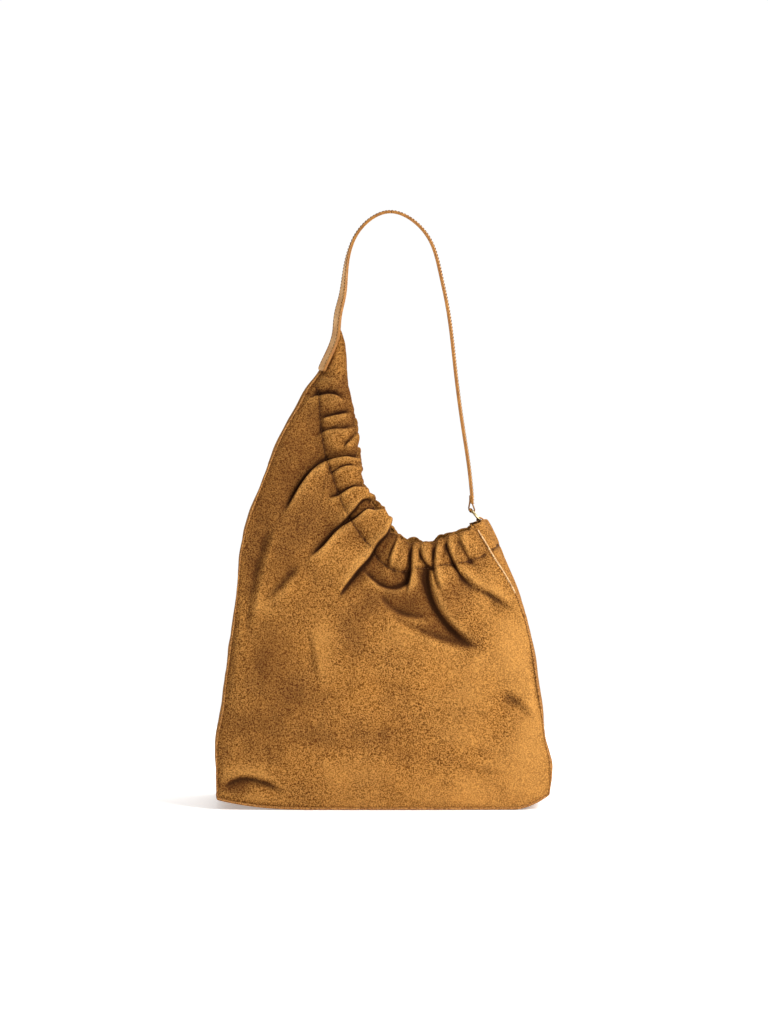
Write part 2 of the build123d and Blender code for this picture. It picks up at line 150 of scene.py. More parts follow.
class SmoothLine:
    """A smooth curve through a few points, read by its share of the way along."""

    def __init__(self, points: Sequence[Sequence[float]], knots: Optional[Array] = None) -> None:
        """Fit a natural cubic through the points.

        Args:
            points: the points, in order.
            knots: the share of the way at each point; by distance if left out.
        """
        self.points = np.asarray(points, dtype=float)
        if knots is None:
            steps = np.linalg.norm(np.diff(self.points, axis=0), axis=1)
            knots = np.concatenate([[0.0], np.cumsum(steps)]) / steps.sum()
        self.knots = np.asarray(knots, dtype=float)
        count = len(self.points)
        gaps = np.diff(self.knots)
        slopes = np.diff(self.points, axis=0) / gaps[:, None]
        system = np.eye(count)
        wanted = np.zeros_like(self.points)
        for k in range(1, count - 1):
            system[k, k - 1:k + 2] = (gaps[k - 1], 2 * (gaps[k - 1] + gaps[k]), gaps[k])
            wanted[k] = 6 * (slopes[k] - slopes[k - 1])
        self.bend = np.linalg.solve(system, wanted)

    def at(self, share: Array) -> Array:
        """The points at the given shares of the way along."""
        share = np.asarray(share, dtype=float)
        k = np.clip(np.searchsorted(self.knots, share, side="right") - 1, 0, len(self.knots) - 2)
        gap = self.knots[k + 1] - self.knots[k]
        a = ((self.knots[k + 1] - share) / gap)[..., None]
        b = 1 - a
        curl = ((a**3 - a) * self.bend[k] + (b**3 - b) * self.bend[k + 1]) * (gap**2)[..., None] / 6
        return a * self.points[k] + b * self.points[k + 1] + curl

    def along(self, share: Array) -> Array:
        """Unit directions of travel at the given shares."""
        step = 1e-4
        share = np.asarray(share, dtype=float)
        return unit(self.at(np.minimum(share + step, 1)) - self.at(np.maximum(share - step, 0)))

    def length(self) -> float:
        """Length of the whole curve."""
        return float(np.linalg.norm(np.diff(self.at(np.linspace(0, 1, 400)), axis=0), axis=1).sum())


@dataclass
class Unevenness:
    """Smooth seeded lumps over a plane, as worn cloth has."""

    seed: int
    cells: int = 64

    def __post_init__(self) -> None:
        """Draw the table of lumps."""
        self.table = np.random.default_rng(self.seed).uniform(-1, 1, (self.cells, self.cells))

    def at(self, x: Array, y: Array, size: float) -> Array:
        """Lumps about size across, from -1 to 1."""
        px, py = np.asarray(x) / size, np.asarray(y) / size
        ix, iy = np.floor(px).astype(int), np.floor(py).astype(int)
        fx, fy = px - ix, py - iy
        fx, fy = (f**3 * (f * (6 * f - 15) + 10) for f in (fx, fy))
        ix, iy = ix % self.cells, iy % self.cells
        jx, jy = (ix + 1) % self.cells, (iy + 1) % self.cells
        low = self.table[ix, iy] * (1 - fx) + self.table[jx, iy] * fx
        high = self.table[ix, jy] * (1 - fx) + self.table[jx, jy] * fx
        return low * (1 - fy) + high * fy

    def layered(self, x: Array, y: Array, size: float, layers: int = 3) -> Array:
        """Lumps with finer lumps on them, each layer half as big and half as high."""
        turn = 0.6
        total = np.zeros_like(np.asarray(x, dtype=float))
        for k in range(layers):
            c, s = math.cos(turn * k), math.sin(turn * k)
            total += self.at(c * x - s * y + 7.3 * k, s * x + c * y, size / 2**k) / 2**k
        return total


# ---- Finishes ------------------------------------------------------------------------------
def add(tree: bpy.types.NodeTree, kind: str, links: Optional[dict] = None, **settings: Any) -> bpy.types.Node:
    """Add one node with its settings and links.

    Args:
        tree: the node tree it goes into.
        kind: the node's type name, without the leading ShaderNode.
        links: input name or number, to a plain value or to another node's output socket.
        settings: the node's own properties.

    Returns:
        The node.
    """
    node = tree.nodes.new("ShaderNode" + kind)
    for name, value in settings.items():
        setattr(node, name, value)
    for name, value in (links or {}).items():
        if isinstance(value, bpy.types.NodeSocket):
            tree.links.new(value, node.inputs[name])
        else:
            node.inputs[name].default_value = value
    return node


def grain(tree: bpy.types.NodeTree, place: bpy.types.NodeSocket, size_mm: float, detail: float,
          low: float, high: float) -> bpy.types.NodeSocket:
    """A noise pattern of a real size, spread from 0 to 1.

    Args:
        tree: the material's node tree.
        place: the coordinates, in metres.
        size_mm: distance between two lumps.
        detail: finer layers on the pattern.
        low: noise value that becomes 0.
        high: noise value that becomes 1.

    Returns:
        The value socket.
    """
    noise = add(tree, "TexNoise", {"Vector": place, "Scale": 1 / (size_mm * MM), "Detail": detail,
                                   "Roughness": FINER_LAYERS})
    spread = add(tree, "MapRange", {"Value": noise.outputs["Fac"], "From Min": low, "From Max": high})
    return spread.outputs["Result"]


def layer(tree: bpy.types.NodeTree, share: Any, below: Any, above: Any) -> bpy.types.NodeSocket:
    """Lay one colour over another and return the colour socket."""
    mix = add(tree, "Mix", {0: share, 6: below, 7: above}, data_type="RGBA")
    return mix.outputs[2]


@dataclass(frozen=True)
class Finish:
    """What every finish has: a maker's name, the shader's constants and a way to be made once."""

    name: str
    roughness: float
    metallic: float = 0.0
    ior: float = 1.5
    specular: float = 0.5
    sheen: float = 0.0
    sheen_colour: str = "#FFFFFF"
    sheen_roughness: float = 0.5
    coat: float = 0.0
    coat_roughness: float = 0.2

    def material(self) -> bpy.types.Material:
        """The finish as a material, made the first time it is asked for."""
        known = bpy.data.materials.get(self.name)
        if known:
            return known
        made = bpy.data.materials.new(self.name)
        made.use_nodes = True
        tree = made.node_tree
        tree.nodes.clear()
        shader = add(tree, "BsdfPrincipled", {
            "Roughness": self.roughness,
            "Metallic": self.metallic,
            "IOR": self.ior,
            "Specular IOR Level": self.specular,
            "Sheen Weight": self.sheen,
            "Sheen Tint": linear(self.sheen_colour),
            "Sheen Roughness": self.sheen_roughness,
            "Coat Weight": self.coat,
            "Coat Roughness": self.coat_roughness,
        })
        add(tree, "OutputMaterial", {"Surface": shader.outputs[0]})
        self.dress(tree, shader)
        return made

    def dress(self, tree: bpy.types.NodeTree, shader: bpy.types.Node) -> None:
        """Link the pattern of this finish to the shader; each finish has its own."""
        raise NotImplementedError(self.name)


@dataclass(frozen=True)
class Suede(Finish):
    """Split calf suede, drum dyed and brushed: matt, with a nap that lies in patches and fine tufts."""

    # Besides the suede's own tones, dark paints shade, hollow paints shade in creases and edge paints
    # highlights.
    dark: str = "#42200A"
    middle: str = "#74410F"
    light: str = "#A36620"
    hollow: str = "#2A1304"
    edge: str = "#CB914A"
    patch_mm: float = 62.0      # patches where the nap lies one way
    brush_mm: float = 13.0      # strokes of the brush inside a patch
    tuft_mm: float = 1.35       # real tufts are about 0.3 mm; drawn coarser so that they show
    bump_mm: float = 0.6

    def dress(self, tree: bpy.types.NodeTree, shader: bpy.types.Node) -> None:
        """Patches, strokes and tufts in colour, rub and painted highlight on crests, painted shade and light,
        tufts as bump.
        """
        place = add(tree, "TexCoord").outputs["Object"]
        crest = add(tree, "Attribute", attribute_name="crest").outputs["Fac"]
        nap = add(tree, "Attribute", attribute_name="nap").outputs["Fac"]
        patches = grain(tree, place, self.patch_mm, 3.0, 0.34, 0.66)
        strokes = grain(tree, place, self.brush_mm, 4.0, 0.30, 0.70)
        tufts = grain(tree, place, self.tuft_mm, 2.0, 0.38, 0.62)
        colour = layer(tree, patches, linear(self.dark), linear(self.light))
        colour = layer(tree, 0.62, colour, linear(self.middle))
        mottled = layer(tree, strokes, linear(self.dark), linear(self.light))
        colour = layer(tree, 0.20, colour, mottled)
        # Fold crests lighter: partly rubbed suede, partly painted highlight.
        rubbed_and_highlight = add(tree, "MapRange", {"Value": crest, "From Min": 0.12, "From Max": 0.9, "To Max": 0.7})
        colour = layer(tree, rubbed_and_highlight.outputs["Result"], colour, linear(self.edge))
        tufted = layer(tree, tufts, linear(self.hollow), linear(self.edge))
        colour = layer(tree, 0.60, colour, tufted)
        # Painted light and shade over broad areas, partly the suede's own patches: lighter where high, darker
        # where low.
        lying_and_lit = add(tree, "MapRange", {"Value": nap, "From Min": 0.0, "From Max": 1.2, "To Max": 0.40})
        colour = layer(tree, lying_and_lit.outputs["Result"], colour, linear(self.edge))
        standing_and_shaded = add(tree, "MapRange", {"Value": nap, "From Min": 0.0, "From Max": -1.2, "To Max": 0.66})
        colour = layer(tree, standing_and_shaded.outputs["Result"], colour, linear(self.dark))
        # Painted shade: creases darkened towards the hollow colour.
        shaded = add(tree, "MapRange", {"Value": crest, "From Min": -0.08, "From Max": -0.75, "To Max": 0.92})
        colour = layer(tree, shaded.outputs["Result"], colour, linear(self.hollow))
        tree.links.new(colour, shader.inputs["Base Color"])
        coarse = add(tree, "Bump", {"Height": strokes, "Strength": 0.25, "Distance": self.bump_mm * 2 * MM})
        fine = add(tree, "Bump", {"Height": tufts, "Strength": 0.55, "Distance": self.bump_mm * MM,
                                  "Normal": coarse.outputs[0]})
        tree.links.new(fine.outputs[0], shader.inputs["Normal"])


@dataclass(frozen=True)
class Leather(Finish):
    """Smooth aniline leather or its painted edge: a soft shine with fine pores and slow colour drift."""

    dark: str = "#B57C40"
    light: str = "#DDAA68"
    drift_mm: float = 18.0
    pore_mm: float = 0.8        # real pores are about 0.2 mm apart; drawn coarser so that they show
    bump_mm: float = 0.08
    duller: float = 0.08        # added to the roughness where the colour is dark
    glossier: float = 0.06      # taken off it where the colour is light

    def dress(self, tree: bpy.types.NodeTree, shader: bpy.types.Node) -> None:
        """Slow colour drift, pores in colour and bump, and a roughness that varies with them."""
        place = add(tree, "TexCoord").outputs["Object"]
        drift = grain(tree, place, self.drift_mm, 3.0, 0.32, 0.68)
        pores = add(tree, "TexVoronoi", {"Vector": place, "Scale": 1 / (self.pore_mm * MM)})
        pore = add(tree, "MapRange", {"Value": pores.outputs["Distance"], "From Max": 0.7}).outputs["Result"]
        colour = layer(tree, drift, linear(self.dark), linear(self.light))
        creased = layer(tree, pore, linear(self.dark), linear(self.light))
        colour = layer(tree, 0.25, colour, creased)
        tree.links.new(colour, shader.inputs["Base Color"])
        gloss = add(tree, "MapRange", {"Value": drift, "To Min": self.roughness + self.duller,
                                       "To Max": self.roughness - self.glossier})
        tree.links.new(gloss.outputs["Result"], shader.inputs["Roughness"])
        bump = add(tree, "Bump", {"Height": pore, "Strength": 0.4, "Distance": self.bump_mm * MM})
        tree.links.new(bump.outputs[0], shader.inputs["Normal"])


@dataclass(frozen=True)
class Woven(Finish):
    """Plain woven cloth or tape: crossing threads, a little colour change from thread to thread."""

    dark: str = "#A5855C"
    light: str = "#C9AB7F"
    thread_mm: float = 0.9      # real threads are about 0.4 mm apart; drawn coarser so that they show
    slub_mm: float = 9.0
    bump_mm: float = 0.15

    def dress(self, tree: bpy.types.NodeTree, shader: bpy.types.Node) -> None:
        """Two crossing sets of threads in colour and bump, over slow slubs."""
        place = add(tree, "TexCoord").outputs["Object"]
        scale = 1 / (self.thread_mm * MM) / math.pi
        warp = add(tree, "TexWave", {"Vector": place, "Scale": scale, "Distortion": 0.6}, bands_direction="X")
        weft = add(tree, "TexWave", {"Vector": place, "Scale": scale, "Distortion": 0.6}, bands_direction="Z")
        crossing = add(tree, "Math", {0: warp.outputs["Fac"], 1: weft.outputs["Fac"]}, operation="MULTIPLY")
        threads = crossing.outputs[0]
        slubs = grain(tree, place, self.slub_mm, 3.0, 0.3, 0.7)
        colour = layer(tree, threads, linear(self.dark), linear(self.light))
        colour = layer(tree, 0.4, colour, layer(tree, slubs, linear(self.dark), linear(self.light)))
        tree.links.new(colour, shader.inputs["Base Color"])
        bump = add(tree, "Bump", {"Height": threads, "Strength": 0.5, "Distance": self.bump_mm * MM})
        tree.links.new(bump.outputs[0], shader.inputs["Normal"])


@dataclass(frozen=True)
class PlatedMetal(Finish):
    """Zinc alloy with a pale gold plating, tumbled: bright, with faint scuffs."""

    dark: str = "#C9B078"
    light: str = "#E6D3A0"
    scuff_mm: float = 3.0
    bump_mm: float = 0.05
    duller: float = 0.10        # added to the roughness in a scuff

    def dress(self, tree: bpy.types.NodeTree, shader: bpy.types.Node) -> None:
        """Faint scuffs in colour and roughness."""
        place = add(tree, "TexCoord").outputs["Object"]
        scuffs = grain(tree, place, self.scuff_mm, 5.0, 0.35, 0.65)
        colour = layer(tree, scuffs, linear(self.dark), linear(self.light))
        tree.links.new(colour, shader.inputs["Base Color"])
        gloss = add(tree, "MapRange", {"Value": scuffs, "To Min": self.roughness + self.duller,
                                       "To Max": self.roughness})
        tree.links.new(gloss.outputs["Result"], shader.inputs["Roughness"])
        bump = add(tree, "Bump", {"Height": scuffs, "Strength": 0.08, "Distance": self.bump_mm * MM})
        tree.links.new(bump.outputs[0], shader.inputs["Normal"])


SUEDE = Suede("Brushed_split_suede", roughness=0.95, specular=0.08, sheen=0.03, sheen_colour="#D0904C",
              sheen_roughness=0.55)
SUEDE_EDGE = Suede("Cut_suede_edge", roughness=0.9, specular=0.2, sheen=0.25, sheen_colour="#EFC893",
                   dark="#B98A55", middle="#CFA06A", light="#DDB583", hollow="#8E5E2C", edge="#E8C595",
                   patch_mm=30.0, brush_mm=6.0)
SEAM_SUEDE = Suede("Turned_suede_seam", roughness=0.92, specular=0.15, sheen=0.1, sheen_colour="#D09A5C",
                   dark="#6E4119", middle="#945C28", light="#B27C3C", hollow="#4A260B", edge="#C48E50")
STRAP_LEATHER = Leather("Aniline_strap_leather", roughness=0.55, specular=0.3, coat=0.04, coat_roughness=0.4)
STRAP_BACKING = Suede("Split_leather_backing", roughness=0.85, specular=0.2, dark="#96663A", middle="#B58150",
                      light="#C6966A", hollow="#6E4520", edge="#CDA172", patch_mm=25.0, brush_mm=7.0)
PAINTED_EDGE = Leather("Painted_leather_edge", roughness=0.5, specular=0.3, dark="#7A4A1C", light="#A06C2E",
                       drift_mm=9.0, pore_mm=1.2)
THREAD = Woven("Bonded_polyester_thread", roughness=0.75, specular=0.2, dark="#3F210A", light="#6E451C",
               thread_mm=0.5)
LINING = Woven("Cotton_lining", roughness=0.9, specular=0.25, sheen=0.15, dark="#9C7C55", light="#BFA178")
ELASTIC = Woven("Woven_elastic", roughness=0.8, dark="#CFC4AE", light="#E8DFCC", thread_mm=1.4)
BOARD = Woven("Fibre_board", roughness=0.85, dark="#6D5B45", light="#83705A", thread_mm=1.6, bump_mm=0.05)
METAL = PlatedMetal("Pale_gold_plated_zinc", roughness=0.24, metallic=1.0)
ZIP_TAPE = Woven("Zip_tape", roughness=0.8, dark="#8A6338", light="#A67C4C", thread_mm=0.8)
ZIP_NYLON = Leather("Nylon_zip_coil", roughness=0.4, specular=0.5, dark="#7A5830", light="#94703F",
                    drift_mm=10.0, pore_mm=0.6)


# ---- Mesh makers ---------------------------------------------------------------------------
def make_object(name: str, points: Array, faces: Array, finishes: Sequence[Finish],
                crest: Optional[Array] = None, picks: Optional[Array] = None,
                nap: Optional[Array] = None) -> bpy.types.Object:
    """Make a smooth-shaded mesh object.

    Args:
        name: the piece's name.
        points: millimetre positions, one per row.
        faces: point numbers of each quad (or other polygon), one per row.
        finishes: one or more finishes.
        crest: how far each point stands over its neighbours, from -1 to 1.
        picks: which finish each face takes.
        nap: from -1, dark, to 1, light: painted light and shade with the suede's own patches.

    Returns:
        The object, linked to the scene.
    """
    mesh = bpy.data.meshes.new(name)
    mesh.from_pydata((np.asarray(points) * MM).tolist(), [], [tuple(int(n) for n in f) for f in faces])
    for finish in finishes:
        mesh.materials.append(finish.material())
    if picks is not None:
        mesh.polygons.foreach_set("material_index", np.asarray(picks, dtype=np.int32))
    mesh.polygons.foreach_set("use_smooth", np.ones(len(mesh.polygons), dtype=bool))
    for label, given in (("crest", crest), ("nap", nap)):
        values = np.zeros(len(points)) if given is None else np.asarray(given, dtype=float).ravel()
        mesh.attributes.new(label, "FLOAT", "POINT").data.foreach_set("value", values)
    mesh.update()
    piece = bpy.data.objects.new(name, mesh)
    bpy.context.scene.collection.objects.link(piece)
    return piece


def grid_faces(rows: int, columns: int, wrap: bool = False, flip: bool = False) -> Array:
    """Quads of a grid of points.

    Args:
        rows: points one way.
        columns: points the other way.
        wrap: join the last column to the first.
        flip: turn the faces over.

    Returns:
        Four point numbers for each quad.
    """
    r, c = np.meshgrid(np.arange(rows - 1), np.arange(columns if wrap else columns - 1), indexing="ij")
    d = (c + 1) % columns
    low, high = r * columns, (r + 1) * columns
    quads = np.stack([low + c, low + d, high + d, high + c], axis=-1).reshape(-1, 4)
    return quads[:, ::-1] if flip else quads


def sweep(name: str, rings: Array, finishes: Sequence[Finish], side_picks: Optional[Array] = None,
          capped: bool = True) -> bpy.types.Object:
    """Skin a row of closed section loops.

    Args:
        name: the piece's name.
        rings: section loops, as loops x points x 3, in millimetres.
        finishes: the finishes.
        side_picks: which finish the strip after each section point takes.
        capped: close both ends.

    Returns:
        The object.
    """
    loops, sides = rings.shape[:2]
    faces = [tuple(f) for f in grid_faces(loops, sides, wrap=True)]
    picks = list(np.tile(side_picks, loops - 1)) if side_picks is not None else [0] * len(faces)
    points = rings.reshape(-1, 3)
    if capped:
        first = len(points)
        points = np.vstack([points, rings[0].mean(axis=0), rings[-1].mean(axis=0)])
        last_ring = (loops - 1) * sides
        for k in range(sides):
            n = (k + 1) % sides
            faces.append((n, k, first))
            faces.append((last_ring + k, last_ring + n, first + 1))
            picks += [len(finishes) - 1] * 2
    return make_object(name, points, faces, finishes, picks=np.array(picks))


def cord_rings(line: Array, radius: float, sides: int = 8, closed: bool = False) -> Array:
    """Round section loops along a line of points.

    Args:
        line: the points.
        radius: the tube's radius.
        sides: points round the section.
        closed: the line ends where it began.

    Returns:
        The loops.
    """
    if closed:
        ahead, behind = np.roll(line, -1, axis=0), np.roll(line, 1, axis=0)
        along = unit(ahead - behind)
    else:
        along = unit(np.gradient(line, axis=0))
    up = np.tile([0.0, 1.0, 0.0], (len(line), 1))
    steep = np.abs(along[:, 1:2]) > 0.85
    up = np.where(steep, np.array([[1.0, 0.0, 0.0]]), up)
    across = unit(np.cross(along, up))
    other = np.cross(across, along)
    turn = np.linspace(0, 2 * math.pi, sides, endpoint=False)
    return (line[:, None, :] + radius * np.cos(turn)[None, :, None] * across[:, None, :]
            + radius * np.sin(turn)[None, :, None] * other[:, None, :])


@dataclass
class StitchRow:
    """A row of sewing stitches lying on a surface."""

    pitch: float = 3.5
    length: float = 2.3
    thread: float = 0.42        # half the thread's thickness, a little over life size so that it shows
    sides: int = 6

    def lay(self, name: str, places: Array, outward: Array) -> bpy.types.Object:
        """Sew along a line of points.

        Args:
            name: the piece's name.
            places: points on the surface, in order.
            outward: the surface's outward direction at each.

        Returns:
            The stitches as one object.
        """
        run = run_along(places)
        middles = np.arange(self.pitch / 2, run[-1] - self.length / 2, self.pitch)
        half = self.length / 2
        centre, ahead, behind, out = (
            np.stack([np.interp(at, run, values[:, k]) for k in range(3)], axis=1)
            for at, values in ((middles, places), (middles + half, places), (middles - half, places),
                               (middles, outward)))
        along = unit(ahead - behind)
        out = unit(out)
        side = np.cross(along, out)
        steps = np.array([-1.0, -0.72, 0.0, 0.72, 1.0])
        widths = np.array([0.25, 0.85, 1.0, 0.85, 0.25])
        sink = np.array([-0.5, 0.0, 0.35, 0.0, -0.5]) * self.thread
        turn = np.linspace(0, 2 * math.pi, self.sides, endpoint=False)
        points = (centre[:, None, None, :] + along[:, None, None, :] * (steps * half)[None, :, None, None]
                  + out[:, None, None, :] * sink[None, :, None, None]
                  + self.thread * widths[None, :, None, None]
                  * (out[:, None, None, :] * np.cos(turn)[None, None, :, None]
                     + side[:, None, None, :] * np.sin(turn)[None, None, :, None]))
        one = grid_faces(len(steps), self.sides, wrap=True)
        per = len(steps) * self.sides
        faces = (one[None, :, :] + (np.arange(len(centre)) * per)[:, None, None]).reshape(-1, 4)
        return make_object(name, points.reshape(-1, 3), faces, [THREAD])


# ---- The bag's form ------------------------------------------------------------------------
# Level sections, the frame's with a slimmer right-hand hem: height as a share of the peak's, the corner
# seams as shares of the half width, half depth at the left seam, middle and right seam as shares of half
# the depth, and each gusset's bulge in millimetres.
SECTIONS = (
    (0.000, 0.952, 0.952, 0.86, 0.90, 0.86, 3.5, 3.5), (0.082, 0.970, 0.977, 0.88, 0.98, 0.88, 4.0, 4.0),
    (0.209, 0.929, 0.924, 0.84, 1.00, 0.84, 4.0, 4.0), (0.341, 0.884, 0.862, 0.76, 0.91, 0.76, 3.5, 4.0),
    (0.460, 0.847, 0.759, 0.66, 0.76, 0.64, 3.5, 6.0), (0.536, 0.820, 0.618, 0.59, 0.62, 0.52, 3.5, 12.5),
    (0.594, 0.782, 0.493, 0.53, 0.53, 0.42, 3.5, 15.5), (0.687, 0.691, 0.283, 0.44, 0.44, 0.34, 3.5, 23.0),
    (0.803, 0.538, 0.057, 0.31, 0.33, 0.26, 3.5, 18.0), (0.904, 0.351, -0.085, 0.19, 0.21, 0.18, 3.0, 12.0),
    (0.954, 0.304, -0.140, 0.15, 0.16, 0.15, 2.0, 8.0), (1.000, 0.278, -0.198, 0.12, 0.125, 0.12, 1.5, 6.0),
)

# The gathered mouth: pairs of places on the mouth's edge and on the casing's stitch line below it
# (x, z, x, z in millimetres), from the peak down and across to the right-hand hem.
MOUTH_STATIONS = (
    (-49.5, 499.0, -71.0, 441.0), (-43.5, 489.0, -68.0, 431.0), (-38.5, 463.0, -65.5, 419.0),
    (-37.0, 440.0, -65.0, 407.0), (-33.0, 421.0, -64.0, 394.0), (-27.5, 397.0, -62.0, 380.0),
    (-25.0, 372.0, -58.5, 361.0), (-22.5, 345.0, -52.0, 343.0), (-17.5, 329.0, -45.0, 322.0),
    (-10.0, 316.5, -37.0, 303.0), (0.5, 304.5, -25.0, 284.0), (8.5, 292.5, -11.0, 266.0),
    (15.5, 280.0, 4.0, 250.5), (24.0, 273.5, 18.0, 244.5), (35.0, 272.5, 31.0, 246.5),
    (47.0, 272.5, 45.0, 247.5), (60.0, 277.5, 59.0, 249.5), (72.0, 281.0, 72.0, 251.0),
    (82.0, 283.0, 85.0, 253.0), (88.0, 287.0, 99.0, 257.5), (91.5, 290.0, 112.0, 263.5),
)
HEM_TOP = 290.0             # the right-hand seams end here, at the mouth's edge
LEFT_TOP = 499.0
FLOOR_GAP = 2.0             # lower edge of the panels above the floor


@dataclass
class BagShape:
    """The bag's outer form in millimetres, scaled to the frame's own boxes."""

    peak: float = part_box("left_gusset")[1].z / MM
    half_width: float = (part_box("right_gusset")[1].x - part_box("left_gusset")[0].x) / 2 / MM * 0.995
    half_depth: float = -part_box("front_panel")[0].y / MM * 0.9836
    left_lift: float = 10.5     # how far the soft lower corners rise off the floor
    right_lift: float = 15.5

    def __post_init__(self) -> None:
        """Fit smooth columns through the sections."""
        rows = np.array(SECTIONS)
        scale = np.array([-self.half_width, self.half_width] + [self.half_depth] * 3 + [1, 1])
        self.columns = SmoothLine(rows[:, 1:] * scale, knots=rows[:, 0])

    def level(self, z: Array) -> Array:
        """Left seam, right seam, three half depths and two bulges at height z, on the last axis."""
        return self.columns.at(np.clip(np.asarray(z) / self.peak, 0, 1))

    def wall(self, x: Array, z: Array) -> Array:
        """Half depth of the bag at a place seen from the front."""
        rows = self.level(z)
        left, right, near, middle, far = (rows[..., k] for k in range(5))
        t = (x - left) / (right - left)
        t = np.clip(t, -0.02, 1.6)
        return near * (1 - t) * (1 - 2 * t) + middle * 4 * t * (1 - t) + far * t * (2 * t - 1)

    def outward(self, x: Array, z: Array, face: int) -> Array:
        """Unit outward direction of a panel; face is -1 for the front and 1 for the back."""
        step = 2.0
        slope_x = (self.wall(x + step, z) - self.wall(x - step, z)) / (2 * step)
        slope_z = (self.wall(x, z + step) - self.wall(x, z - step)) / (2 * step)
        return unit(np.stack([-slope_x, np.full_like(slope_x, float(face)), -slope_z], axis=-1))

    def lift(self, x: Array) -> Array:
        """How far the lower edge rises off the floor at x."""
        left = self.left_lift * np.clip((-x - 70.0) / 102.0, 0, 1.1)**2.5
        right = self.right_lift * np.clip((x - 135.0) / 37.0, 0, 1.15)**1.7
        return left + right

    def seam(self, side: int, share: Array) -> Array:
        """Front-view places (x, z) of a corner seam from base to top; side is -1 or 1."""
        low = FLOOR_GAP + float(self.lift(np.array(side * 0.952 * self.half_width)))
        top = LEFT_TOP if side < 0 else HEM_TOP
        z = low + (top - low) * np.asarray(share)
        x = self.level(z)[..., 0 if side < 0 else 1]
        sway = 1.6 * np.sin(z / 15.0) * bell(z - 72.0, 34.0) + 0.7 * np.sin(z / 23.0 + side)
        pull = 3.5 * ease(0.86, 1.0, np.asarray(share)) if side > 0 else -4.2 * bell(z - 434.0, 17.0)
        return np.stack([x + sway + pull, z], axis=-1)

    def seam_depth(self, side: int, share: Array) -> Array:
        """Half depth at a corner seam."""
        place = self.seam(side, share)
        return self.level(place[..., 1])[..., 2 if side < 0 else 4]

    def seam_share(self, side: int, z: float) -> float:
        """The share of the way up a seam at height z."""
        low, high = self.seam(side, np.array([0.0, 1.0]))[:, 1]
        return float((z - low) / (high - low))


# ---- Folds ---------------------------------------------------------------------------------
@dataclass(frozen=True)
class Fold:
    """One fold pressed into a panel: a valley along a line and a raised lip beside it.

    line is in x and z; side is 1 where the lip lies to the left of the way the line runs and -1
    to the right. Sizes are millimetres; fades are shares of the line's length.
    """

    line: Line2
    deep: float
    width: float
    lip: float = 0.0
    lip_width: float = 4.0
    side: int = 1
    spread: float = 16.0
    over: float = 0.0
    fade_in: float = 0.0
    fade_out: float = 0.4

    def press(self, x: Array, z: Array) -> tuple[Array, Array, Array]:
        """How far the fold moves places outward and along x and z.

        Args:
            x: places across.
            z: places up.

        Returns:
            Outward, x and z moves.
        """
        reach = max(3.0 * self.spread, 3.0 * self.width)
        corners = np.array(self.line)
        low, high = corners.min(axis=0) - reach, corners.max(axis=0) + reach
        near = (x > low[0]) & (x < high[0]) & (z > low[1]) & (z < high[1])
        moves = tuple(np.zeros_like(x) for _ in range(3))
        if not near.any():
            return moves
        px, pz = x[near], z[near]
        dense = SmoothLine(self.line).at(np.linspace(0, 1, 40))
        start, step = dense[:-1], np.diff(dense, axis=0)
        size = (step**2).sum(axis=1)
        dx, dz = px[:, None] - start[:, 0], pz[:, None] - start[:, 1]
        share = np.clip((dx * step[:, 0] + dz * step[:, 1]) / size, 0, 1)
        gap = (dx - share * step[:, 0])**2 + (dz - share * step[:, 1])**2
        best = gap.argmin(axis=1)
        pick = np.arange(len(px))
        along = step[best] / np.sqrt(size[best])[:, None]
        cross = along[:, 0] * dz[pick, best] - along[:, 1] * dx[pick, best]
        q = np.sqrt(gap[pick, best]) * np.sign(cross) * self.side
        t = (best + share[pick, best]) / len(start)
        strength = 1 - ease(1 - self.fade_out, 1.0, t)
        if self.fade_in > 0:
            strength = strength * ease(0.0, self.fade_in, t)
        step_up = ease(-0.42 * self.lip_width, 0.5 * self.lip_width, q)
        crest = bell(q - 0.45 * self.lip_width, 0.8 * self.lip_width)
        out = (step_up * self.lip * (0.25 * np.exp(-np.maximum(q, 0) / self.lip_width)
                                     + 0.85 * np.exp(-np.maximum(q, 0) / (0.85 * self.spread)))
               - (1 - step_up) * self.deep * (0.55 * np.exp(np.minimum(q, 0) / self.width)
                                              + 0.50 * np.exp(np.minimum(q, 0) / (2.2 * self.width))))
        moves[0][near] = strength * out
        drag = strength * self.over * crest * self.side
        moves[1][near] = drag * along[:, 1]
        moves[2][near] = -drag * along[:, 0]
        return moves


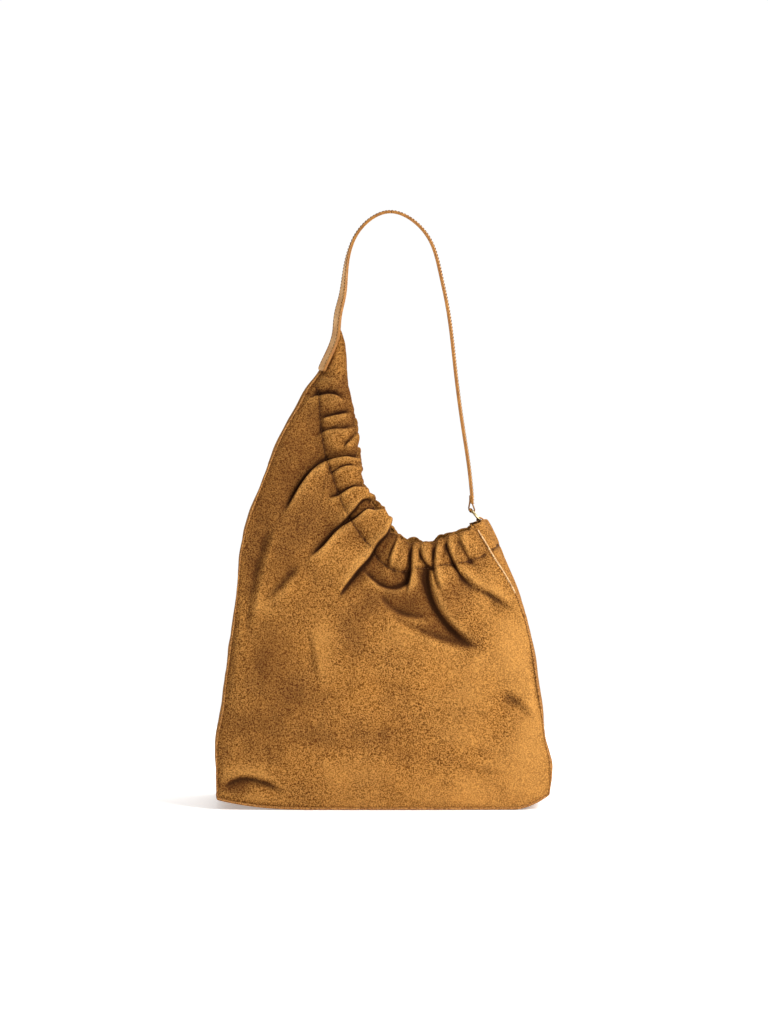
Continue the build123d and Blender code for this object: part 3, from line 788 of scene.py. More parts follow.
# In order from the peak down; the sizes are deep, width, lip, lip_width, side, spread and over.
FRONT_FOLDS = (
    # the peak's narrow part
    Fold(((-66, 424), (-52, 425), (-38, 419)), 4.0, 4.5, 3.5, 4.0, -1, 12, 1.0),
    Fold(((-66, 400), (-48, 404), (-30, 408)), 4.5, 3.5, 3.0, 3.5, -1, 10, 1.0, fade_in=0.25, fade_out=0.2),
    Fold(((-64, 447), (-56, 443), (-44, 446)), 2.0, 4.0, 1.5, 4.0, -1, 10),
    Fold(((-26, 386), (-34, 377), (-42, 369)), 4.0, 3.0, 3.0, 3.0, 1, 8, 1.5),
    Fold(((-24, 396), (-40, 390), (-58, 388), (-74, 378)), 3.0, 4.0, 3.0, 4.5, 1, 14, 1.0),
    # the long fold that runs left and down from the gathers
    Fold(((-20, 361), (-48.6, 358), (-66, 351), (-76, 341), (-88, 324), (-99, 308), (-108, 298)),
         8.0, 5.5, 5.5,
         4.5, 1, 24, 3.0),
    Fold(((-22, 351), (-43, 349), (-52, 344), (-62, 342)), 3.5, 3.0, 2.5, 3.0, 1, 9, 1.0),
    Fold(((-16, 331), (-33, 328), (-45, 321), (-62, 318)), 5.0, 4.0, 3.0, 3.5, 1, 10, 1.5),
    # the pair under the corner of the mouth, with a dark pocket between them
    Fold(((-8, 317), (-21, 318), (-29, 310), (-37, 301), (-46, 291), (-58, 281)),
         6.0, 4.5, 4.0, 4.0, -1, 14, 2.0),
    Fold(((0, 308), (-15, 306), (-25, 298), (-43, 287), (-56, 273), (-84, 252)),
         8.0, 5.5, 5.5, 4.5, 1, 20, 2.5),
    # the raised flap
    Fold(((11, 296), (2, 283), (-7.6, 273), (-15, 261), (-25, 249.7), (-39, 230), (-50, 212)),
         9.0, 6.5, 6.5, 4.5,
         -1, 26, 3.0),
    Fold(((-24, 251), (-12, 238), (-2, 230), (14, 227), (28.5, 237), (32, 262)), 5.5, 7.0, 3.0, 6.0, -1, 16,
         fade_in=0.2, fade_out=0.3),
    # short pleats under the right-hand casing
    Fold(((16, 281), (12, 268), (8, 256), (9, 243)), 3.5, 3.0, 3.0, 3.5, 1, 9, 1.0),
    Fold(((31.5, 274), (31, 258), (29, 236), (22, 216)), 5.0, 3.0, 3.5, 3.5, 1, 10, 1.5),
    Fold(((39, 274), (40, 262), (47, 251), (56, 244)), 4.0, 3.2, 3.0, 3.2, 1, 9, 1.0),
    Fold(((56, 274), (54, 250), (56, 236), (64, 216)), 4.0, 3.4, 3.0, 4.0, 1, 10, 1.0),
    Fold(((68, 281), (67, 272), (71.5, 258), (79, 244), (88, 230)), 4.2, 3.0, 3.0, 3.2, 1, 10, 1.0),
    Fold(((79, 285), (81, 272), (89, 258), (97, 246)), 2.5, 2.8, 2.0, 3.0, 1, 9),
    # the broad shadow valley and its ridges
    Fold(((47, 252), (50, 226), (58, 206), (76, 184), (104, 163)), 6.5, 13.0, 3.5, 8.0, 1, 26, fade_in=0.1),
    Fold(((-6, 224), (10, 206), (30, 198), (56, 196)), 5.0, 13.0, 2.0, 8.0, -1, 22, fade_in=0.2),
    Fold(((-10, 216), (12, 196), (41, 181), (86, 167), (120, 160)),
         4.0, 15.0, 3.0, 13.0, -1, 30, fade_in=0.25),
    Fold(((79, 247), (89, 234), (113, 221), (140, 200)), 3.0, 7.0, 2.0, 7.0, 1, 18, fade_in=0.15),
    # slow drape of the body
    Fold(((-78, 196), (-70, 160), (-63, 116)), 1.8, 10.0, 1.2, 9.0, 1, 22, fade_in=0.4),
    Fold(((-108, 300), (-122, 262), (-132, 214), (-138, 160)), 3.0, 12.0, 2.0, 12.0, 1, 26, fade_in=0.25),
    Fold(((-82, 252), (-104, 226), (-126, 206)), 2.2, 9.0, 1.6, 9.0, 1, 22, fade_in=0.3),
    Fold(((-170, 20), (-148, 34), (-121, 31), (-90, 14)), 3.2, 11.0, 2.0, 9.0, 1, 20, fade_in=0.2),
    Fold(((122, 128), (140, 112), (160, 92)), 2.2, 12.0, 1.5, 10.0, 1, 22, fade_in=0.3),
    Fold(((-40, 150), (10, 132), (64, 128)), 1.6, 18.0, 1.0, 14.0, 1, 30, fade_in=0.4),
    Fold(((60, 60), (98, 44), (140, 42)), 1.5, 14.0, 1.0, 12.0, 1, 24, fade_in=0.4),
)

BACK_FOLDS = (
    Fold(((-66, 430), (-52, 428), (-38, 424)), 3.5, 4.5, 3.0, 4.0, -1, 12, 1.0),
    Fold(((-28, 402), (-44, 396), (-66, 384)), 4.0, 4.0, 3.0, 4.0, 1, 12, 1.0),
    Fold(((-22, 372), (-46, 366), (-70, 352), (-90, 330)), 7.0, 5.5, 5.0, 4.5, 1, 22, 2.5),
    Fold(((-20, 346), (-42, 338), (-60, 322), (-84, 300), (-104, 270)), 5.0, 5.0, 4.0, 4.5, -1, 20, 2.0),
    Fold(((-12, 320), (-30, 312), (-46, 292), (-62, 262)), 7.0, 5.0, 4.5, 4.5, 1, 18, 2.5),
    Fold(((2, 304), (-12, 286), (-24, 262), (-40, 236), (-66, 206)), 8.0, 6.0, 5.5, 4.5, -1, 24, 3.0),
    Fold(((14, 283), (8, 264), (2, 240), (-8, 214)), 4.5, 4.0, 3.5, 4.0, 1, 14, 1.5),
    Fold(((27, 275), (26, 256), (20, 228)), 4.0, 3.2, 3.0, 3.4, 1, 10, 1.0),
    Fold(((42, 274), (43, 252), (50, 226), (60, 198)), 5.0, 4.0, 3.5, 4.0, -1, 14, 1.5),
    Fold(((58, 279), (60, 258), (68, 236)), 4.0, 3.2, 3.0, 3.4, 1, 10, 1.0),
    Fold(((75, 284), (80, 262), (92, 240), (112, 214)), 4.0, 4.0, 3.0, 4.0, 1, 14, 1.0),
    Fold(((40, 236), (52, 206), (80, 176), (116, 152)), 5.0, 14.0, 3.0, 11.0, -1, 28, fade_in=0.15),
    Fold(((-110, 286), (-126, 240), (-134, 180)), 3.0, 12.0, 2.0, 12.0, 1, 26, fade_in=0.25),
    Fold(((-150, 40), (-112, 30), (-70, 38)), 2.5, 12.0, 1.5, 10.0, 1, 22, fade_in=0.3),
    Fold(((70, 112), (110, 96), (150, 70)), 2.0, 14.0, 1.5, 12.0, 1, 24, fade_in=0.3),
)


# Patches of painted shade (painted light where plus), partly the suede's own: middle x and z, how wide and
# high, how strongly.
NAP_AND_PAINTED_LIGHT_PATCHES = (
    (68.0, 212.0, 22.0, 30.0, -1.25), (12.0, 218.0, 28.0, 20.0, -1.00), (66.0, 262.0, 44.0, 14.0, -0.75),
    (-52.0, 436.0, 18.0, 26.0, -0.40), (-92.0, 348.0, 24.0, 40.0, -0.65), (-28.0, 290.0, 28.0, 30.0, -0.75),
    (-112.0, 161.0, 28.0, 34.0, -0.60), (-95.0, 123.0, 34.0, 20.0, -0.60), (-131.0, 94.0, 28.0, 16.0, -0.40),
    (-61.0, 172.0, 12.0, 44.0, 0.65), (-28.0, 176.0, 18.0, 38.0, -0.65), (10.0, 176.0, 22.0, 18.0, 0.55),
    (61.0, 183.0, 32.0, 13.0, -0.85), (92.0, 168.0, 18.0, 12.0, -0.85), (140.0, 176.0, 18.0, 30.0, 0.95),
    (97.0, 118.0, 42.0, 12.0, 0.45), (135.0, 113.0, 20.0, 10.0, -0.65), (-47.0, 75.0, 64.0, 17.0, -0.60),
    (61.0, 53.0, 56.0, 15.0, -0.55), (153.0, 65.0, 16.0, 30.0, 0.75), (-153.0, 25.0, 24.0, 10.0, -0.95),
    (-136.0, 42.0, 28.0, 7.0, 0.60), (-119.0, 206.0, 22.0, 13.0, 0.55), (-50.0, 262.0, 24.0, 18.0, 0.40),
    (112.0, 214.0, 20.0, 26.0, 0.40), (-10.0, 90.0, 90.0, 50.0, -0.35),
)


class Face(Enum):
    """Which of the two big panels."""

    FRONT = -1
    BACK = 1


@dataclass
class Panel:
    """One big suede panel with its gathered casing, rolled rim and turned-in facing."""

    shape: BagShape
    face: Face
    folds: tuple[Fold, ...]
    seed: int
    columns: int = 360
    rows: int = 270             # base to the casing's stitch line
    casing_rows: int = 40
    rim_rows: int = 8
    facing_rows: int = 14
    rim_radius: float = 1.9
    casing_puff: float = 3.4
    stitch_groove: float = 1.1
    gather_height: float = 2.3
    facing_drop: float = 0.97   # facing's depth as a share of the casing's
    rim_window: int = 19        # columns over which the folds' push on the rim is evened out
    low_ends: tuple[float, float] = (286.0, 302.0)      # heights over which the mouth's low run turns up
    side_ends: tuple[float, float] = (392.0, 420.0)     # heights over which its side run reaches the peak
    peak_pitch: float = 16.0    # between two gathers at the peak
    side_closer: float = 5.5    # less than that down the side
    low_closer: float = 3.5     # less than that along the low run
    stitch_pitch: float = 3.5
    elastic_span: tuple[float, float] = (0.16, 0.84)    # part of the casing's height that the elastic takes
    rim_share: tuple[float, float] = (0.55, 1.0)        # part of the casing that follows the rim

    def __post_init__(self) -> None:
        """Name the panel's parts and lay out its grid."""
        self.label = self.face.name.lower()
        self.lumps = Unevenness(self.seed)
        self.lay_out()
        self.work_relief()

    def lay_out(self) -> None:
        """Lay a grid of front-view places over the panel: base to stitch line, then stitch line to mouth."""
        stations = np.array(MOUTH_STATIONS)
        mouth, stitch = stations[:, :2], stations[:, 2:]
        steps = sum(np.linalg.norm(np.diff(line, axis=0), axis=1) for line in (mouth, stitch)) / 2
        knots = np.concatenate([[0.0], np.cumsum(steps)]) / steps.sum()
        fine = np.linspace(0, 1, 800)
        mouth_line, stitch_line = SmoothLine(mouth, knots), SmoothLine(stitch, knots)
        height = mouth_line.at(fine)[:, 1]
        density = 1.0 + 0.9 * ease(284.0, 300.0, height) * (1 - ease(385.0, 410.0, height))
        spread = np.concatenate([[0.0], np.cumsum((density[1:] + density[:-1]) / 2)])
        u = np.interp(np.linspace(0, 1, self.columns), spread / spread[-1], fine)
        edge, seam = mouth_line.at(u), stitch_line.at(u)
        left_share = self.shape.seam_share(-1, float(seam[0, 1]))
        right_share = self.shape.seam_share(1, float(seam[-1, 1]))
        v = np.linspace(0, 1, self.rows)
        left = self.shape.seam(-1, v * left_share)
        right = self.shape.seam(1, v * right_share)
        seam = self.pinned(seam, left[-1], right[-1])
        low = np.stack([left[0, 0] + (right[0, 0] - left[0, 0]) * u, np.zeros_like(u)], axis=1)
        low[:, 1] = FLOOR_GAP + self.shape.lift(low[:, 0])
        low = self.pinned(low, left[0], right[0])
        body = self.coons(low, seam, left, right, u, v)
        w = np.linspace(0, 1, self.casing_rows)
        left_up = self.shape.seam(-1, left_share + (1 - left_share) * w)
        right_up = self.shape.seam(1, right_share + (1 - right_share) * w)
        edge = self.pinned(edge, left_up[-1], right_up[-1])
        casing = self.coons(seam, edge, left_up, right_up, u, w)
        self.places = np.concatenate([body, casing[1:]], axis=0)
        self.stitch_row = self.rows - 1
        self.mouth_run = run_along(edge)

    @staticmethod
    def pinned(line: Array, first: Array, last: Array) -> Array:
        """Move a line's two ends to given places, easing the change away along it."""
        share = np.linspace(0, 1, len(line))[:, None]
        return line + (first - line[0]) * (1 - share)**6 + (last - line[-1]) * share**6

    @staticmethod
    def coons(low: Array, high: Array, left: Array, right: Array, u: Array, v: Array) -> Array:
        """Fill the space between four edges with an even grid of places."""
        uu, vv = u[None, :, None], v[:, None, None]
        across = (1 - uu) * left[:, None, :] + uu * right[:, None, :]
        upward = (1 - vv) * low[None, :, :] + vv * high[None, :, :]
        corners = ((1 - uu) * (1 - vv) * low[0] + uu * (1 - vv) * low[-1] + (1 - uu) * vv * high[0]
                   + uu * vv * high[-1])
        return across + upward - corners

    def work_relief(self) -> None:
        """Work out how far each place stands in or out, and how it slides along the panel."""
        x, z = self.places[..., 0], self.places[..., 1]
        rows_up = np.concatenate([np.zeros((1,) + x.shape[1:]), np.cumsum(
            np.linalg.norm(np.diff(self.places, axis=0), axis=2), axis=0)])
        run = np.concatenate([np.zeros((len(x), 1)), np.cumsum(
            np.linalg.norm(np.diff(self.places, axis=1), axis=2), axis=1)], axis=1)
        from_right = run[:, -1:] - run
        # how far under the stitch line each place is; less than 0 in the casing
        below = rows_up[self.stitch_row][None, :] - rows_up
        above_share = np.clip(-below / np.maximum(rows_up[-1] - rows_up[self.stitch_row], 1)[None, :], 0, 1)
        height = self.places[-1, :, 1]
        low_part = 1 - ease(*self.low_ends, height)
        side_part = ease(*self.low_ends, height) * (1 - ease(*self.side_ends, height))
        pitch = self.peak_pitch - self.side_closer * side_part - self.low_closer * low_part
        phase = 2 * math.pi * np.concatenate([[0.0], np.cumsum(np.diff(self.mouth_run) / pitch[1:])])
        phase = phase + 1.7 * self.lumps.at(self.mouth_run, 0 * self.mouth_run, 17.0)
        strength = 0.32 + 0.16 * side_part + 0.48 * low_part
        strength = strength * (0.75 + 0.45 * self.lumps.at(self.mouth_run + 90, 0 * self.mouth_run, 21.0))
        from_ring = self.mouth_run[-1] - self.mouth_run
        strength = strength * ease(0.0, 14.0, self.mouth_run) * ease(0.0, 10.0, from_ring)
        drift = phase[None, :] + 0.5 * self.lumps.at(x, z, 26.0)
        pleat = np.abs(np.sin(drift / 2))**0.75 - 0.62
        wide = np.abs(np.sin(drift / 4 + 0.6))**0.85 - 0.6
        reach = 16 + 26 * (0.5 + 0.5 * self.lumps.at(self.mouth_run, 0 * self.mouth_run + 40, 46.0))
        fall = np.exp(-np.maximum(below, 0) / reach[None, :])
        far_fall = np.exp(-np.maximum(below, 0) / (2.1 * reach[None, :])) * ease(4.0, 30.0, below)
        out = self.gather_height * strength[None, :] * (pleat * fall + 0.9 * wide * far_fall)
        dx, dz = np.zeros_like(x), np.zeros_like(x)
        for crease in self.folds:
            push, slide_x, slide_z = crease.press(x, z)
            out, dx, dz = out + push, dx + slide_x, dz + slide_z
        out = out + 1.5 * self.lumps.layered(x, z, 66.0, 2) + 0.55 * self.lumps.layered(x + 300, z, 19.0, 3)
        out = 15.0 * np.tanh(out / 15.0)
        edge_fade = ease(0.0, 9.0, run) * ease(0.0, 9.0, from_right) * ease(0.0, 8.0, rows_up)
        seam_puff = 1.7 * (1 - np.exp(-np.minimum(run, from_right) / 5.0)) * (1 - np.exp(-rows_up / 5.0))
        out = out * edge_fade + seam_puff
        puff = np.sin(math.pi * np.clip(above_share, 0, 1))**0.7 * (below < 0)
        wide_enough = ease(4.0, 26.0, rows_up[-1] - rows_up[self.stitch_row])[None, :]
        out = out + self.casing_puff * puff * wide_enough * ease(0.0, 14.0, run) * ease(0.0, 14.0, from_right)
        groove = bell(below, 2.2) * ease(2.0, 10.0, run) * ease(2.0, 10.0, from_right)
        pucker = 0.6 + 0.4 * np.sin(self.mouth_run / self.stitch_pitch * math.pi)[None, :]
        out = out - self.stitch_groove * groove * pucker
        window = np.hanning(self.rim_window + 2)[1:-1]
        half = self.rim_window // 2
        padded = np.pad(out, ((0, 0), (half, half)), mode="edge")
        evened = sum(w * padded[:, k:k + out.shape[1]] for k, w in enumerate(window / window.sum()))
        near_edge = ease(*self.rim_share, above_share)
        out = out + 0.85 * near_edge * (evened - out)
        dx, dz = dx * (1 - 0.7 * near_edge), dz * (1 - 0.7 * near_edge)
        crest = out - blurred(out, 5)
        uneven_curl = self.lumps.at(self.mouth_run, 0 * self.mouth_run + 9, 8.0)
        curl = np.abs(np.sin(phase / 2))**0.6 - 0.5 + 0.35 * uneven_curl
        bump = 1.5 * self.gather_height * strength * curl
        up = unit(self.places[-1] - self.places[self.stitch_row])
        rim_bump = bump + 0.7 * (out[-1] - blurred(out, 14)[-1])
        dx = (dx * edge_fade) + near_edge * (rim_bump * up[:, 0])[None, :]
        dz = (dz * edge_fade) + near_edge * (rim_bump * up[:, 1])[None, :]
        self.relief = out
        # The crest also colours the suede: painted shade where low, lighter where high (rubbed suede and
        # painted highlight).
        self.crest = np.clip(crest / 2.4, -1, 1)
        self.moved = self.places + np.stack([dx, dz], axis=-1)
        self.outward = self.shape.outward(x, z, self.face.value)
        wall = self.shape.wall(x, z)
        base = np.stack([self.moved[..., 0], self.face.value * wall, self.moved[..., 1]], axis=-1)
        self.base = base
        self.skin = base + self.outward * out[..., None]

    def nap_and_painted_light_at(self, x: Array, z: Array) -> Array:
        """Painted light and shade, partly the suede's own patches: darker up left, lighter at the right,
        darker in broad valleys.
        """
        # Painted light and shade, partly nap: lighter at the right where the key light falls, darker towards
        # the upper left.
        slope = (x * 0.50 - (z - 190) * 0.50) / 190 - 0.05
        low_left = -0.35 * bell(x + 150, 60.0) * bell(z - 50, 60.0)
        # Patches of painted shade and light.
        shades = sum(depth * bell(x - at_x, wide) * bell(z - at_z, high)
                     for at_x, at_z, wide, high, depth in NAP_AND_PAINTED_LIGHT_PATCHES)
        # Painted shade in broad valleys, a little painted light on broad rises.
        hollow = np.zeros_like(x)
        broad = (self.relief - blurred(self.relief, 16)) / 3.6
        hollow[:len(broad)] = np.clip(broad, -1.2, 0.5)
        uneven = 0.30 * self.lumps.layered(x + 500, z, 52.0, 3)
        return np.clip(slope + low_left + shades + hollow + uneven, -1.25, 1.25)

    def rim_and_facing(self) -> Array:
        """Rows of points over the rolled rim and down the inside of the casing."""
        edge, out = self.skin[-1], self.outward[-1]
        up = unit(self.skin[-1] - self.skin[-4])
        out = unit(out - up * (out * up).sum(axis=1, keepdims=True))
        centre = edge - out * self.rim_radius
        rows = []
        for k in range(1, self.rim_rows + 1):
            turn = math.pi * k / self.rim_rows
            rows.append(centre + self.rim_radius * (out * math.cos(turn) + up * math.sin(turn) * 1.15))
        casing = self.skin[self.stitch_row:]
        pick = np.linspace(len(casing) - 2, (1 - self.facing_drop) * (len(casing) - 1), self.facing_rows)
        for at in pick:
            k = int(at)
            row = casing[k] * (1 - (at - k)) + casing[min(k + 1, len(casing) - 1)] * (at - k)
            smooth = self.base[self.stitch_row + k]
            depth = at / (len(casing) - 1)
            thick = 2.0 * self.rim_radius + 1.6 * math.sin(math.pi * depth)
            inner = row - self.outward[self.stitch_row + k] * thick
            flat = smooth - self.outward[self.stitch_row + k] * 3.4
            rows.append(0.6 * inner + 0.4 * flat)
        return self.seat_snap(np.array(rows))

    def seat_snap(self, rows: Array) -> Array:
        """Flatten the facing behind its half of the snap."""
        node = "snap_socket" if self.face is Face.FRONT else "snap_stud"
        low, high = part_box(node)
        middle = (low + high) / 2 / MM
        back = (low.y if self.face is Face.FRONT else high.y) / MM + self.face.value * 0.15
        gap = np.hypot(rows[..., 0] - middle.x, rows[..., 2] - middle.z)
        share = 1 - ease(9.5, 17.0, gap)
        rows[..., 1] = rows[..., 1] * (1 - share) + back * share
        return rows

    def build(self) -> list[bpy.types.Object]:
        """Make the panel, its stitches, its elastic and its lining.

        Returns:
            The pieces.
        """
        inside = self.rim_and_facing()
        points = np.concatenate([self.skin, inside], axis=0)
        rows, columns = points.shape[:2]
        crest = np.concatenate([self.crest, np.zeros((len(inside), columns))], axis=0)
        # The rolled rim a little lighter: partly rubbed suede, partly painted highlight.
        crest[len(self.skin):len(self.skin) + self.rim_rows] = 0.25
        faces = grid_faces(rows, columns, flip=self.face is Face.BACK)
        # Painted light and shade over the panel, partly the suede's own patches.
        nap = self.nap_and_painted_light_at(points[..., 0], points[..., 2])
        panel = make_object(f"{self.label}_suede_panel", points.reshape(-1, 3), faces, [SUEDE], crest=crest,
                            nap=nap)
        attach(panel, "bag")
        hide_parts(f"{self.label}_panel", f"{self.label}_mouth_facing")
        row = self.skin[self.stitch_row, 3:-3] + self.outward[self.stitch_row, 3:-3] * 0.4
        thread = StitchRow().lay(f"{self.label}_casing_stitches", row, self.outward[self.stitch_row, 3:-3])
        inner_row = inside[-2, 3:-3] - self.outward[self.stitch_row, 3:-3] * 0.25
        inner_thread = StitchRow().lay(f"{self.label}_facing_stitches", inner_row,
                                       -self.outward[self.stitch_row, 3:-3])
        for sewn in (thread, inner_thread):
            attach(sewn, "bag")
        return [panel, thread, inner_thread, self.build_elastic(), self.build_lining()]

    def build_elastic(self) -> bpy.types.Object:
        """The elastic ribbon between the panel and its facing."""
        low_row = self.stitch_row + int(self.elastic_span[0] * self.casing_rows)
        high_row = self.stitch_row + int(self.elastic_span[1] * self.casing_rows)
        keep = slice(24, -10)
        outer = self.skin[low_row:high_row, keep] - self.outward[low_row:high_row, keep] * 1.5
        inner = outer - self.outward[low_row:high_row, keep] * 0.8
        ribbon = make_slab(f"{self.label}_elastic_band", outer, inner, [ELASTIC], self.face is Face.BACK)
        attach(ribbon, "bag")
        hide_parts(f"{self.label}_mouth_elastic")
        return ribbon

    def build_lining(self) -> bpy.types.Object:
        """The cotton lining behind the panel, hanging a little slack from the casing's stitches."""
        pull = blurred(lowest_near(np.minimum(self.relief, 0), 11), 5) * 1.04
        uneven = self.lumps.layered(self.places[..., 0] + 60, self.places[..., 1], 30.0, 2)
        gap = 2.9 + 1.2 * (0.5 + 0.5 * uneven)
        rows = slice(2, self.stitch_row + 3, 3)
        cols = slice(3, -3, 3)
        tuck = ease(0.0, 14.0, self.stitch_row + 3.0 - np.arange(len(pull)))[:, None]
        depth = np.minimum(pull, 0.0) - (2.4 + (gap - 2.4) * tuck)
        inner = self.base + self.outward * depth[..., None]
        inner[..., 2] += 3.2 * (1 - ease(0.0, 40.0, np.arange(len(pull))[:, None]))
        surface = inner[rows, cols]
        faces = grid_faces(*surface.shape[:2], flip=self.face is Face.FRONT)
        cloth = make_object(f"{self.label}_cotton_lining", surface.reshape(-1, 3), faces, [LINING])
        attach(cloth, "bag")
        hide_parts(f"{self.label}_lining")
        return cloth


def border_walls(rows: int, columns: int) -> Array:
    """Quads that join the border of one grid to the border of a second grid numbered after it."""
    count = rows * columns
    number = np.arange(count).reshape(rows, columns)
    border = np.concatenate([number[0, :], number[1:, -1], number[-1, -2::-1], number[-2:0:-1, 0]])
    after = np.roll(border, -1)
    return np.stack([after, border, border + count, after + count], axis=1)


def make_slab(name: str, upper: Array, lower: Array, finishes: Sequence[Finish], flip: bool = False,
              ) -> bpy.types.Object:
    """Close two matching grids of points into a slab.

    Args:
        name: the piece's name.
        upper: one skin.
        lower: the other skin.
        finishes: the finishes.
        flip: turn every face over.

    Returns:
        The object.
    """
    rows, columns = upper.shape[:2]
    top = grid_faces(rows, columns)
    bottom = grid_faces(rows, columns, flip=True) + rows * columns
    faces = np.concatenate([top, bottom, border_walls(rows, columns)])
    if flip:
        faces = faces[:, ::-1]
    points = np.concatenate([upper.reshape(-1, 3), lower.reshape(-1, 3)])
    return make_object(name, points, faces, finishes)


# ---- Gussets, seams and base ---------------------------------------------------------------
@dataclass
class Gusset:
    """A side panel between the two corner seams; the right-hand one ends in a turned-in hem."""

    shape: BagShape
    side: int                   # -1 left, 1 right
    seed: int
    columns: int = 90
    rows: int = 210
    hem_depth: float = 26.0
    hem_rise: float = 5.0       # the hem's middle stands over its ends
    turn_rows: int = 7
    inner_rows: int = 12
    rim_radius: float = 1.7

    def __post_init__(self) -> None:
        """Work out the surface."""
        self.label = "left" if self.side < 0 else "right"
        self.lumps = Unevenness(self.seed)
        v = np.linspace(0, 1, self.rows)
        u = np.linspace(0, 1, self.columns)[None, :]
        seam = self.shape.seam(self.side, v)
        depth = self.shape.seam_depth(self.side, v)[:, None]
        bulge = self.shape.level(seam[:, 1])[:, 5 if self.side < 0 else 6][:, None]
        crown = 4 * u * (1 - u)
        y = -depth + 2 * depth * u
        z = seam[:, 1][:, None] + 0 * u
        if self.side > 0:
            z = z + self.hem_rise * crown * (v**6)[:, None]
        fade = ease(0.0, 0.10, u) * ease(0.0, 0.10, 1 - u) * ease(0.0, 0.03, v)[:, None]
        middle_crease = 1.4 * bell(y + 4 * np.sin(z / 40), 5.0) * (depth > 30)
        soft = 1.1 * self.lumps.layered(y, z, 38.0, 3) - middle_crease
        relief = soft * fade
        if self.side > 0:
            hem_fade = ease(HEM_TOP - 70, HEM_TOP, z)
            relief = relief + 1.3 * hem_fade * np.sin(y / 5.2 + 0.4) * fade
            relief = relief - 1.0 * bell(z - (HEM_TOP + self.hem_rise * crown - self.hem_depth), 2.0) * fade
        x = seam[:, 0][:, None] + self.side * (bulge * crown**0.9 + relief)
        self.skin = np.stack([x, y, z], axis=-1)
        # The crest also colours the suede: painted shade where low, lighter where high (rubbed suede and
        # painted highlight).
        self.crest = np.clip((relief - blurred(relief, 4)) / 1.2, -1, 1)

    def inside_rows(self) -> Array:
        """The hem's rolled top and its turned-in facing."""
        edge = self.skin[-1]
        out = np.zeros_like(edge)
        out[:, 0] = self.side
        up = unit(self.skin[-1] - self.skin[-3])
        rows = []
        for k in range(1, self.turn_rows + 1):
            turn = math.pi * k / self.turn_rows
            rows.append(edge - out * self.rim_radius
                        + self.rim_radius * (out * math.cos(turn) + up * math.sin(turn)))
        run = self.skin[-1, self.columns // 2, 2] - self.skin[:, self.columns // 2, 2]
        last = int(np.argmin(np.abs(run - self.hem_depth)))
        for at in np.linspace(self.rows - 2, last, self.inner_rows):
            k = int(at)
            rows.append(self.skin[k] - out[0] * 2.0 * self.rim_radius)
        return np.array(rows)

    def build(self) -> list[bpy.types.Object]:
        """Make the gusset, its lining and, on the right, its hem stitches.

        Returns:
            The pieces.
        """
        points, crest = self.skin, self.crest
        if self.side > 0:
            inside = self.inside_rows()
            points = np.concatenate([points, inside], axis=0)
            crest = np.concatenate([crest, np.zeros((len(inside), self.columns))], axis=0)
            # The hem's rolled top a little lighter: partly rubbed suede, partly painted highlight.
            crest[self.rows:self.rows + self.turn_rows] = 0.3
        rows, columns = points.shape[:2]
        faces = grid_faces(rows, columns, flip=self.side < 0)
        wall = make_object(f"{self.label}_suede_gusset", points.reshape(-1, 3), faces, [SUEDE], crest=crest)
        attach(wall, "bag")
        names = [f"{self.label}_gusset"] + (["gusset_hem_facing"] if self.side > 0 else [])
        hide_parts(*names)
        made = [wall]
        if self.side > 0:
            level = HEM_TOP - self.hem_depth
            k = int(np.argmin(np.abs(self.skin[:, self.columns // 2, 2] - self.hem_rise - level)))
            row = self.skin[k, 2:-2] + np.array([0.25, 0, 0])
            hem = StitchRow().lay("gusset_hem_stitches", row, np.tile([1.0, 0, 0], (len(row), 1)))
            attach(hem, "bag")
            made.append(hem)
        made.append(self.build_lining())
        return made

    def build_lining(self) -> bpy.types.Object:
        """The cotton lining of this side."""
        top_z = 392.0 if self.side < 0 else HEM_TOP - self.hem_depth + 3
        rows = [k for k in range(2, self.rows, 3) if self.skin[k, 0, 2] < top_z]
        surface = self.skin[rows][:, 2:-2:3].copy()
        inset = 3.2 + 0.8 * self.lumps.layered(surface[..., 1], surface[..., 2] + 100, 30.0, 2)
        surface[..., 0] -= self.side * inset
        surface[..., 1] *= 0.955
        surface[..., 2] += 3.0 * (1 - ease(0.0, 30.0, np.array(rows, dtype=float)))[:, None]
        faces = grid_faces(*surface.shape[:2], flip=self.side > 0)
        cloth = make_object(f"{self.label}_cotton_lining", surface.reshape(-1, 3), faces, [LINING])
        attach(cloth, "bag")
        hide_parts(f"{self.label}_lining")
        return cloth


@dataclass
class Seams:
    """The raised seam allowances along the four corners."""

    shape: BagShape
    radius: float = 0.8
    stand: float = 0.25
    count: int = 260
    bright_from: float = 222.0  # the right-hand seam's cut edge shows above this height

    def build(self) -> list[bpy.types.Object]:
        """Make the four seam edges.

        Returns:
            The pieces.
        """
        made = []
        v = np.linspace(0.004, 0.998, self.count)
        for side in (-1, 1):
            for face in Face:
                place = self.shape.seam(side, v)
                depth = self.shape.seam_depth(side, v)
                x = place[:, 0] + side * self.stand
                line = np.stack([x, face.value * (depth + self.stand), place[:, 1]], axis=1)
                if side > 0:
                    over = ease(0.96, 1.0, v)
                    line[:, 1] -= face.value * 2.0 * over
                name = f"{'left' if side < 0 else 'right'}_{face.name.lower()}_seam"
                welt = sweep(name, cord_rings(line, self.radius, 8), [SEAM_SUEDE, SUEDE_EDGE])
                picks = np.array([side > 0 and face_z > self.bright_from * MM for face_z in
                                  (p.center.z for p in welt.data.polygons)], dtype=np.int32)
                welt.data.polygons.foreach_set("material_index", picks)
                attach(welt, "bag")
                made.append(welt)
        return made


